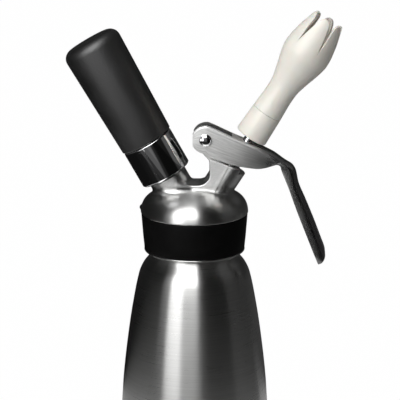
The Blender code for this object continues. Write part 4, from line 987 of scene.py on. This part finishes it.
# %% Head field
def upper_field(points):
    """The valve boss, the lug with its channel and the tongue that holds the pin."""
    x, y, z = points.T
    upper = soft_join(rod_field(points, VALVE_AXIS, *VALVE_BOSS),
                      slab_field(points, LUG_TABLE, LUG_HALF), 0.6)
    tilt = math.hypot(1.0, LUG_SLOPE)
    upper = soft_cut(upper, (lug_top(x) - z) / tilt, 0.45)
    floor = (lug_top(x) - CHANNEL_DEPTH - z) / tilt
    upper = soft_cut(upper, soft_meet(floor, np.abs(y) - CHANNEL_HALF, 0.3), 0.3)
    hole = np.hypot(x - PIVOT_X, z - PIVOT_Z) - PIN_HOLE_R
    tongue = soft_cut(slab_field(points, TONGUE_TABLE, TONGUE_HALF), hole, 0.2)
    upper = soft_join(upper, tongue, 1.2)
    return np.where(z > CEILING + 1.0, upper, upper + (CEILING + 1.0 - z))


def head_field(points):
    """Distance to the casting's surface above the skirt; points are in millimetres."""
    x, y, z = points.T
    nub = np.linalg.norm((points - NUB_PLACE) / NUB_SIZES, axis=1)
    dome = soft_join(DOME_TABLE(np.hypot(x, y), z), (nub - 1.0) * NUB_SIZES[2], 0.5)
    charger = rod_field(points, CHARGER_AXIS, *CHARGER_BOSS)
    charger = np.where(z > CEILING, charger, np.hypot(charger, np.minimum(z - CEILING, 0.0)) + 0.5)
    body = soft_join(dome, upper_field(points), 1.5)
    body = soft_join(body, charger, 3.0)
    body = soft_join(body, rod_field(points, VALVE_AXIS, *VALVE_SEAT), 0.8)
    for *bore, rounding in BORES:
        body = soft_cut(body, rod_field(points, *bore, edge=0.1), rounding)
    inlet = np.hypot(x - CHARGER_AXIS.translation.x / MM, y) - INLET_R
    return soft_cut(body, soft_meet(inlet, np.abs(z - CEILING) - INLET_HALF, 0.1), 0.1)


# %% [markdown]
# A surface net puts one vertex in every grid cell that the surface passes through, at the mean
# of its edge crossings, and one face across every grid edge that changes sides. A few Newton
# steps down the field's slope then lay each vertex on the true surface.


# %% Surface net
def surface_net(field, low, high, step):
    counts = np.ceil((np.array(high) - low) / step).astype(int) + 1
    lines = [low[axis] + np.arange(counts[axis]) * step for axis in range(3)]
    grid = np.stack(np.meshgrid(*lines, indexing="ij"), -1).reshape(-1, 3)
    values = np.concatenate([field(part) for part in np.array_split(grid, 12)]).reshape(counts)
    inside = values < 0
    cells = tuple(counts - 1)
    total, hits = np.zeros((*cells, 3)), np.zeros(cells)
    crossings = []
    for axis in range(3):
        first, second = [slice(None)] * 3, [slice(None)] * 3
        first[axis], second[axis] = slice(None, -1), slice(1, None)
        first, second = tuple(first), tuple(second)
        crossed = inside[first] != inside[second]
        share = np.where(crossed, values[first] / np.where(
            crossed, values[first] - values[second], 1.0), 0.0)
        crossings.append((crossed, inside[first]))
        b, c = (other for other in range(3) if other != axis)
        for shift_b, shift_c in ((0, 0), (0, 1), (1, 0), (1, 1)):
            window = [slice(None)] * 3
            window[b] = slice(shift_b, counts[b] - 1 + shift_b)
            window[c] = slice(shift_c, counts[c] - 1 + shift_c)
            hit = crossed[tuple(window)]
            hits += hit
            total[..., axis] += share[tuple(window)]
            total[..., b] += hit * shift_b
            total[..., c] += hit * shift_c
    active = hits > 0
    index = np.full(cells, -1)
    index[active] = np.arange(active.sum())
    corner = np.argwhere(active)
    vertices = np.array(low) + (corner + total[active] / hits[active][:, None]) * step
    quads = []
    for axis, (crossed, starts_inside) in enumerate(crossings):
        b, c = (axis + 1) % 3, (axis + 2) % 3
        keep = np.argwhere(crossed)
        keep = keep[(keep[:, b] > 0) & (keep[:, c] > 0)
                    & (keep[:, b] < counts[b] - 1) & (keep[:, c] < counts[c] - 1)]
        corners = []
        for down_b, down_c in ((1, 1), (0, 1), (0, 0), (1, 0)):
            cell = keep.copy()
            cell[:, b] -= down_b
            cell[:, c] -= down_c
            corners.append(index[tuple(cell.T)])
        faces = np.stack(corners, 1)
        forward = starts_inside[tuple(keep.T)]
        faces[~forward] = faces[~forward][:, ::-1]
        quads.append(faces)
    return vertices, np.concatenate(quads)


def slope(field, points, reach=0.05):
    """Gradient of a field, from its values a little to both sides."""
    return np.stack([(field(points + shift) - field(points - shift)) / (2 * reach)
                     for shift in np.eye(3) * reach], 1)


def settled(field, points, rounds=4, longest=0.2):
    for _ in range(rounds):
        lean = slope(field, points)
        move = field(points)[:, None] * lean / np.maximum((lean ** 2).sum(1), 0.05)[:, None]
        length = np.linalg.norm(move, axis=1)[:, None]
        points = points - move * np.minimum(1.0, longest / np.maximum(length, 1e-9))
    return points


def netted(name, field, low, high, step):
    """A piece on a field's zero surface, with the field's own normals."""
    vertices, quads = surface_net(field, low, high, step)
    vertices = settled(field, vertices)
    mesh = bpy.data.meshes.new(name)
    mesh.from_pydata((vertices * MM).tolist(), [], quads.tolist())
    mesh.shade_smooth()
    lean = slope(field, vertices, reach=0.15)
    lean /= np.maximum(np.linalg.norm(lean, axis=1), 1e-9)[:, None]
    mesh.normals_split_custom_set_from_vertices(lean.tolist())
    return linked(name, mesh)


# %% Head
HEAD_NET_STEP = 0.45
HEAD_LOW = (-30.6, -29.9, HEAD_SPLIT_Z - 1.0)
HEAD_HIGH = (31.6, 29.9, PIVOT_Z + TONGUE_R + 0.6)

settle(netted("head_top", head_field, HEAD_LOW, HEAD_HIGH, HEAD_NET_STEP),
       "head_steel", "head", "cast_steel", "head_casting")
settle(turned("head_skirt", [
    (SKIRT_BORE_R, SKIRT_LOW_Z, 0.3), (FLANGE_R, SKIRT_LOW_Z, 0.4),
    (FLANGE_R, SKIRT_LOW_Z + FLANGE_THICK, 0.3), (SKIRT_R, SKIRT_LOW_Z + FLANGE_THICK, 0.2),
    (SKIRT_R, HEAD_SPLIT_Z, 0), (CAVITY_R, HEAD_SPLIT_Z, 0), (CAVITY_R, SEAT_Z, 0.2),
    (SKIRT_BORE_R, SEAT_Z, 0.3),
], 192), "head_steel", "head", "cast_steel", "head_casting")
settle(add_thread("skirt_thread", "head_steel", 2.0, Wall_Radius=SKIRT_BORE_R,
                  Ridge_Height=-0.9, Start_Height=LIP_Z - 11.0, **NECK_RIDGE),
       "head_steel", "head", "cast_steel")

# %% [markdown]
# ## Grip band
# A moulded rubber collar stretched round the skirt, wider at the top so the fingers don't slip
# up over the dome. Its lower edge is round, and its top tucks in under the dome.

# %% Grip band
BAND_TOP_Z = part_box("grip_band")[1][2] / MM
BAND_LOW_Z = SKIRT_LOW_Z + FLANGE_THICK
BAND_INNER_R = 25.9

settle(turned("band", [
    (BAND_INNER_R, BAND_LOW_Z, 0.2), (27.25, BAND_LOW_Z, 0.7), (27.95, BAND_LOW_Z + 7.0, 12.0),
    (28.9, BAND_TOP_Z, 0.5), (BAND_INNER_R, BAND_TOP_Z, 0.2),
], 192, 6), "band_rubber", "head", "black_rubber", "grip_band")

# %% [markdown]
# ## Charger holder
# The cartridge sits in a steel tube. A turned and chromed ring closes the tube's foot round the
# head's boss, and a thick rubber sleeve slides over the rest so that a hand can hold it, cold
# as it gets. Both are drawn upright and laid on the charger's axis.

# %% Holder
RING_LOW, RING_TOP, RING_R = 18.84, 40.14, 14.1
RING_EDGE, RING_FLOOR = 0.7, 0.86
RING_BORE_R, RING_FOOT_R = 12.5, 10.9
SLEEVE_LOW, SLEEVE_TOP, SLEEVE_BORE_TOP = 40.44, 102.84, 92.6
SLEEVE_BORE_R, SLEEVE_R, SLEEVE_END_R, SLEEVE_EDGE_R = 11.5, 14.5, 16.25, 5.5

settle(turned("ring", [
    (RING_FOOT_R, RING_LOW, 0.2), (RING_R - RING_EDGE, RING_LOW, 0.35),
    (RING_R, RING_LOW + RING_EDGE, 0.5), (RING_R, RING_TOP - RING_EDGE, 0.5),
    (RING_R - RING_EDGE, RING_TOP, 0.35), (RING_BORE_R, RING_TOP, 0.1),
    (RING_BORE_R, RING_LOW + RING_FLOOR, 0.1), (RING_FOOT_R, RING_LOW + RING_FLOOR, 0.2),
], 160, 5, CHARGER_AXIS), "mirror_chrome", "holder", "chrome", "holder_ring")
settle(turned("sleeve", [
    (SLEEVE_BORE_R, SLEEVE_LOW, 0.1), (SLEEVE_R, SLEEVE_LOW, 0.6),
    (SLEEVE_END_R, SLEEVE_TOP - 0.6, SLEEVE_EDGE_R), (4.0, SLEEVE_TOP, 20.0),
    (0.0, SLEEVE_TOP, 0.0), (0.0, SLEEVE_BORE_TOP, 0.0), (SLEEVE_BORE_R, SLEEVE_BORE_TOP, 0.5),
], 160, 12, CHARGER_AXIS), "sleeve_rubber", "holder", "black_rubber", "holder_sleeve")

# %% [markdown]
# ## Lever
# One blank of sheet steel, pressed into a channel: round about the pivot, straight past the
# valve stem, then bent down into a tail for the fingers. A row of sections carries the shape.
# Each section is the plate with its two cheeks, and a smooth curve through the row's numbers
# gives as many sections between as the eye needs. The fork, the pin hole and the stem slot are
# punched afterwards, so here they are cut with Booleans.

# %% Lever sizes, in millimetres
LEVER_HALF = 6.1
LEVER_SHEET = 1.9
LEVER_NOSE_R = 7.6
LEVER_REACH = 46.0
LEVER_CORNER_R = 6.5
LEVER_LIP = 0.3
TAIL_LEAN = math.radians(21.9)
TAIL_LENGTH = 55.9
TAIL_DEPTH = 6.15
TAIL_HALF_END = 8.4
# Shares of the reach, from the pivot: top x and z, low x and z; and the share of the corner
LEVER_STATIONS = (
    (0.032, 0.162, 0.036, -0.204, 0.20), (0.141, 0.115, 0.121, -0.237, 0.20),
    (0.228, 0.074, 0.213, -0.267, 0.20), (0.308, 0.037, 0.301, -0.291, 0.20),
    (0.446, -0.020, 0.402, -0.315, 0.20), (0.608, -0.083, 0.525, -0.333, 0.25),
    (0.704, -0.128, 0.621, -0.339, 0.30), (0.797, -0.174, 0.703, -0.326, 0.38),
    (0.877, -0.228, 0.774, -0.304, 0.50), (0.936, -0.270, 0.824, -0.287, 0.56),
    (1.001, -0.307, 0.857, -0.296, 0.58), (1.035, -0.348, 0.874, -0.317, 0.60),
    (1.058, -0.400, 0.889, -0.370, 0.62),
)
# Shares of the tail's length and depth: outer run and depth, inner run and depth; and width
TAIL_STATIONS = (
    (0.215, 0.06, 0.175, 0.93, 0.30), (0.36, 0.02, 0.32, 0.97, 0.50),
    (0.505, 0.0, 0.47, 1.0, 0.68), (0.65, 0.0, 0.62, 1.0, 0.85), (0.79, 0.03, 0.77, 1.0, 0.97),
    (0.88, 0.04, 0.865, 1.0, 1.0), (0.93, 0.10, 0.915, 1.0, 0.94),
    (0.965, 0.24, 0.955, 1.0, 0.78), (0.988, 0.44, 0.98, 1.0, 0.58),
    (1.0, 0.62, 0.997, 1.0, 0.36),
)
NOSE_STEPS = 8
CORNER_STEPS = 8
SECTIONS_BETWEEN = 3
LEVER_DISH = 1.0
DISH_SHARES = (0.9, 0.7, 0.45, 0.15)


# %% Lever sections
def lever_sections():
    """Rows of top x, top z, low x, low z, half width, corner radius and dish."""
    rows = []
    for step in range(NOSE_STEPS + 1):
        turn = math.radians(25 + 65 * step / NOSE_STEPS)
        back, rise = -LEVER_NOSE_R * math.cos(turn), LEVER_NOSE_R * math.sin(turn)
        rows.append((back, rise, back, -rise, LEVER_HALF, LEVER_CORNER_R * 0.2, 0.0))
    for *places, share in LEVER_STATIONS:
        dish = LEVER_DISH * min(1.0, max(0.0, (places[0] - 0.55) / 0.3))
        rows.append((*(LEVER_REACH * place for place in places), LEVER_HALF,
                     LEVER_CORNER_R * share, dish))
    bend_x, bend_z = (LEVER_REACH * place for place in LEVER_STATIONS[-3][:2])
    lean_x, lean_z = math.sin(TAIL_LEAN), math.cos(TAIL_LEAN)
    for out_run, out_in, low_run, low_in, widen in TAIL_STATIONS:
        row = []
        for run, depth in ((out_run, out_in), (low_run, low_in)):
            step, sink = TAIL_LENGTH * run, TAIL_DEPTH * depth
            row += [bend_x + lean_x * step - lean_z * sink, bend_z - lean_z * step - lean_x * sink]
        rows.append((*row, LEVER_HALF + (TAIL_HALF_END - LEVER_HALF) * widen,
                     LEVER_CORNER_R * LEVER_STATIONS[-1][4], LEVER_DISH * max(0.0, 0.6 - out_run)))
    return [np.array(row) for row in rows]


def channel_section(row):
    """Plate across the top with two cheeks down to the low edge, as a closed ring of points."""
    top_x, top_z, low_x, low_z, half, corner, dish = row
    across, down = low_x - top_x, low_z - top_z
    depth = math.hypot(across, down)
    lip = min(LEVER_LIP, depth * 0.1)

    def side_line(width, level, radius, lean):
        """From a cheek's lip up, round its corner and in to the middle of the plate."""
        line = [(width + lean * lip, depth), (width + lean * lip * 0.3, depth - lip * 0.3),
                (width, depth - lip)]
        for step in range(CORNER_STEPS + 1):
            turn = math.pi / 2 * step / CORNER_STEPS
            line.append((width - radius + radius * math.cos(turn),
                         level + radius - radius * math.sin(turn)))
        return line + [((width - radius) * share, level + dish * (1 - share ** 2))
                       for share in DISH_SHARES]

    corner = min(corner, depth * 0.62)
    sheet = min(LEVER_SHEET, depth * 0.7)
    inner_corner = max(corner - sheet, sheet * 0.125)
    outer = side_line(half, 0.0, corner, -1)
    inner = side_line(half - sheet, min(sheet, depth * 0.9 - inner_corner), inner_corner, 1)
    loop = outer + [(-side, level) for side, level in outer[::-1]]
    loop += [(-side, level) for side, level in inner] + inner[::-1]
    return [Vector((top_x + across * level / depth, side, top_z + down * level / depth)) * MM
            + Vector((PIVOT.x, 0, PIVOT.z)) for side, level in loop]


# %% Lever
FORK = ((-12.0, -23.0), (14.0, -23.0), (14.0, 11.0), (-12.0, 11.0))
FORK_PLAY = 0.05
STEM_SLOT_R, STEM_SLOT_ENDS = 3.3, (2.4, -2.2)
STEM_SLOT_LEVELS = (26.2, 38.2)


def punch(name, outline, half):
    """A cutter across the lever, from an outline in millimetres about the pivot."""
    return add_piece(name, loft([[Vector((PIVOT.x + x * MM, side * MM, PIVOT.z + z * MM))
                                  for x, z in outline] for side in (-half, half)]))


def make_lever():
    rings = [channel_section(row) for row in through(lever_sections(), lambda *_: SECTIONS_BETWEEN)]
    lever = add_piece("lever_body", loft(rings, "brush"), weld=1e-7)
    fork = punch("fork", FORK, LEVER_HALF - LEVER_SHEET + FORK_PLAY)
    hole = punch("pin_hole", arc_points((0, 0), PIN_HOLE_R, 0, 360, 48)[:-1], 10.0)
    slot = [point for end, start in zip(STEM_SLOT_ENDS, (-90, 90))
            for point in arc_points((end, 0), STEM_SLOT_R, start, start + 180, 16)]
    window = add_piece("stem_slot", loft([[Vector((across, side, level)) * MM
                                           for across, side in slot]
                                          for level in STEM_SLOT_LEVELS]), VALVE_AXIS)
    cut_away(lever, [fork, hole, window])
    lever.data.set_sharp_from_angle(angle=SMOOTH_ANGLE)
    return lever


def paint_inside_shade(lever):
    """Give the faces between the cheeks and under the plate their unbrushed finish, darkened as
    painted shade.
    """
    lever.data.materials.append(bpy.data.materials["lever_inside"])
    limit = (LEVER_HALF - LEVER_SHEET + 0.15) * MM
    inner = [face for face in lever.data.polygons if abs(face.center.y) < limit
             and (face.normal.y * face.center.y < 0 or face.normal.z < -0.3)]
    for face in inner:
        face.material_index = 1
    print("inner faces:", len(inner))


paint_inside_shade(settle(make_lever(), "lever_steel", "lever", "brushed_steel", "lever"))

# %% [markdown]
# ## Pivot pin
# A turned pin with a shallow domed head, held on the far side by a spring clip in a groove.
# The head's rim has its own small chamfer, which reads as a white ring round it.

# %% Pivot pin
PIN_AXIS = Matrix.Translation(PIVOT) @ Matrix.Rotation(math.pi / 2, 4, "X")

settle(turned("pin", [
    (0.0, -8.4, 0.0), (1.9, -8.4, 0.35), (1.9, -7.3, 0.05), (1.3, -7.3, 0.05),
    (1.3, -6.1, 0.05), (1.9, -6.1, 0.05), (1.9, 6.4, 0.05), (3.35, 6.4, 0.1),
    (3.35, 6.95, 0.18), (2.95, 7.2, 0.1), (2.75, 7.12, 0.1), (2.3, 7.55, 1.2),
    (0.9, 7.88, 3.0), (0.0, 7.9, 0.0),
], 96, 5, PIN_AXIS), "mirror_chrome", "head", "chrome", "pivot_pin")

# %% [markdown]
# ## Valve stem
# The stem is the tap: the lever pushes its collar, and the seal under the head opens. Its top
# end carries a fine thread for the tip and is bored for the cream. The same thread tree as on
# the neck makes the ridge.

# %% Valve stem
STEM_END_R = 2.4
STEM_BORE_R = 1.3

settle(turned("stem", [
    (0.0, -8.9, 0.0), (1.4, -8.9, 0.2), (1.4, -3.0, 0.05), (2.6, -3.0, 0.3), (2.6, 17.7, 0.1),
    (4.8, 17.7, 0.2), (4.8, 19.2, 0.2), (2.9, 19.2, 0.2), (2.9, 35.0, 0.2), (3.9, 36.6, 0.2),
    (3.9, 38.2, 0.25), (2.9, 38.2, 0.15), (2.9, 44.9, 0.3), (STEM_END_R, 45.4, 0.1),
    (STEM_END_R, 55.5, 0.3), (STEM_BORE_R, 55.5, 0.2), (STEM_BORE_R, 2.0, 0.3), (0.0, 2.0, 0.0),
], 96, place=VALVE_AXIS), "mirror_chrome", "valve", "chrome", "valve_stem")
settle(add_thread("stem_thread", "mirror_chrome", 2.5, VALVE_AXIS, Wall_Radius=STEM_END_R,
                  Ridge_Height=0.5, Root_Width=0.8, Crest_Width=0.4, Pitch=2.0,
                  Start_Height=47.0),
       "mirror_chrome", "valve", "chrome")

# %% [markdown]
# ## Tip
# The tip is two mouldings: a threaded base and the tulip that plugs into it over an O-ring. The
# base is a plain turned shape with soft edges.

# %% Tip base
BASE_LOW, BASE_SEAM, BASE_TOP = 44.9, 60.64, 68.75
PLUG_R, GROOVE_R = 6.1, 5.0

settle(turned("base", [
    (3.2, BASE_LOW, 0.3), (8.9, BASE_LOW, 0.9), (8.35, BASE_SEAM, 0.3), (PLUG_R, BASE_SEAM, 0.1),
    (PLUG_R, 62.4, 0.1), (GROOVE_R, 62.4, 0.1), (GROOVE_R, 64.5, 0.1), (PLUG_R, 64.5, 0.1),
    (PLUG_R, BASE_TOP, 0.4), (2.2, BASE_TOP, 0.3), (2.2, 57.1, 0.1), (3.2, 57.1, 0.1),
], 144, 5, VALVE_AXIS), "tip_plastic", "tip", "ivory_plastic", "tip_base")

# %% [markdown]
# ## Tulip nozzle
# The nozzle's shape is one rule: a radius for each height, and between the petals a slot that
# opens towards the tips. So a Geometry Nodes tree makes it. One petal starts as a flat grid; a
# Float Curve gives its radius, the slot takes its share of the angle, and the petal's end is
# rounded. Six turned copies are merged below the slots into one closed wall, and Solidify
# gives the moulded thickness inwards.

# %% Nozzle tree
NOZZLE_LENGTH, NOZZLE_R = 59.4, 12.9
NOZZLE_LOW = 60.78
NOZZLE_WALL, NOZZLE_EDGE = 1.6, 0.35
SLOT_LENGTH, SLOT_WIDTH = 16.6, 3.4
NOZZLE_SHARES = (
    (0.0, 0.647), (0.066, 0.628), (0.177, 0.601), (0.23, 0.604), (0.286, 0.620), (0.362, 0.698),
    (0.436, 0.791), (0.512, 0.895), (0.585, 0.972), (0.625, 1.0), (0.694, 0.988), (0.768, 0.934),
    (0.845, 0.860), (0.916, 0.767), (1.0, 0.667),
)


def make_nozzle_tree():
    tree, value = new_geometry_tree("tulip_petals", {
        "Length": NOZZLE_LENGTH * MM, "Radius": NOZZLE_R * MM, "Petals": 6, "Slot Share": 0.28,
        "Slot Width": 4.6 * MM, "Petal Round": 0.05, "Slot Turn": 0.0,
    })

    def calc(operation, *values):
        return math_node(tree, operation, *values)

    grid = add_node(tree, "GeometryNodeMeshGrid", {"Vertices X": 29, "Vertices Y": 121})
    position = add_node(tree, "GeometryNodeInputPosition").outputs[0]
    place = add_node(tree, "ShaderNodeSeparateXYZ", {0: position}).outputs
    share = calc("ADD", place["Y"], 0.5)
    edge = calc("ABSOLUTE", calc("MULTIPLY", place["X"], 2.0))
    past_foot = calc("MAXIMUM", calc("SUBTRACT", share, calc("SUBTRACT", 1.0,
                                                             value["Slot Share"])), 0.0)
    opening = calc("DIVIDE", past_foot, value["Slot Share"])
    rounding = calc("MULTIPLY", calc("MULTIPLY", calc("POWER", edge, 3.2), value["Petal Round"]),
                    calc("POWER", opening, 2.0))
    height = calc("SUBTRACT", share, rounding)
    curve = tree.nodes.new("ShaderNodeFloatCurve")
    points = curve.mapping.curves[0].points
    points[0].location, points[1].location = NOZZLE_SHARES[0], NOZZLE_SHARES[-1]
    for spot in NOZZLE_SHARES[1:-1]:
        points.new(*spot)
    curve.mapping.update()
    wire(tree, curve, Value=height)
    radius = calc("MULTIPLY", curve.outputs[0], value["Radius"])
    width = calc("MULTIPLY", calc("POWER", opening, 0.8), value["Slot Width"])
    sector = calc("DIVIDE", math.tau, value["Petals"])
    angle = calc("MULTIPLY", place["X"], calc("SUBTRACT", sector, calc("DIVIDE", width, radius)))
    angle = calc("ADD", angle, calc("ADD", value["Slot Turn"], calc("MULTIPLY", sector, 0.5)))
    spot = add_node(tree, "ShaderNodeCombineXYZ", {
        "X": calc("MULTIPLY", radius, calc("COSINE", angle)),
        "Y": calc("MULTIPLY", radius, calc("SINE", angle)),
        "Z": calc("MULTIPLY", height, value["Length"])})
    petal = add_node(tree, "GeometryNodeSetPosition", {
        "Geometry": grid.outputs[0], "Position": spot.outputs[0]})
    ring = add_node(tree, "GeometryNodePoints", {"Count": value["Petals"]})
    number = add_node(tree, "GeometryNodeInputIndex").outputs[0]
    turn = add_node(tree, "ShaderNodeCombineXYZ", {"Z": calc("MULTIPLY", number, sector)})
    copies = add_node(tree, "GeometryNodeInstanceOnPoints", {
        "Points": ring.outputs[0], "Instance": petal.outputs[0], "Rotation": turn.outputs[0]})
    real = add_node(tree, "GeometryNodeRealizeInstances", {0: copies.outputs[0]})
    merge = add_node(tree, "GeometryNodeMergeByDistance", {
        "Geometry": real.outputs[0], "Distance": 0.02 * MM})
    return finish_geometry_tree(tree, value, merge.outputs[0])


# %% Nozzle
def make_nozzle():
    nozzle = grown("tulip", make_nozzle_tree(), {
        "Length": NOZZLE_LENGTH * MM, "Radius": NOZZLE_R * MM, "Petals": 6,
        "Slot Share": SLOT_LENGTH / NOZZLE_LENGTH, "Slot Width": SLOT_WIDTH * MM,
        "Petal Round": 0.045, "Slot Turn": math.radians(49.0),
        "Material": bpy.data.materials["tip_plastic"],
    }, VALVE_AXIS @ Matrix.Translation((0, 0, NOZZLE_LOW * MM)))
    wall = nozzle.modifiers.new("wall", "SOLIDIFY")
    wall.thickness = NOZZLE_WALL * MM
    wall.offset = -1.0
    wall.use_even_offset = True
    soft = nozzle.modifiers.new("soft_edges", "BEVEL")
    soft.width = NOZZLE_EDGE * MM
    soft.segments = 3
    soft.limit_method = "ANGLE"
    soft.angle_limit = math.radians(50)
    baked(nozzle)
    nozzle.data.shade_smooth()
    nozzle.data.set_sharp_from_angle(angle=SMOOTH_ANGLE)
    return nozzle


settle(make_nozzle(), "tip_plastic", "tip", "ivory_plastic", "tulip_nozzle")

# %% [markdown]
# ## Hidden pieces
# The seals, the spring, the cartridge and the other inner pieces are the CAD nodes themselves.
# They keep their shapes, and each gets a finish of its own, so a pose that opens the dispenser
# still shows real materials.

# %% Finishes of the CAD nodes
CAD_FINISHES = {
    "silicone": ("head_gasket", "charger_seal", "check_valve", "guide_o_ring", "nozzle_o_ring",
                 "valve_seal"),
    "nylon": ("tip_washer", "valve_guide", "gas_diffuser"),
    "plated": ("charger_adapter", "piercing_pin", "valve_spring", "pivot_clip", "cartridge",
               "holder_tube", "seal_nut"),
}
for finish_name, node_names in CAD_FINISHES.items():
    for node_name in node_names:
        for slot in frame["nodes"][node_name].material_slots:
            slot.material = bpy.data.materials[finish_name]
print("CAD nodes kept:", sum(len(names) for names in CAD_FINISHES.values()))
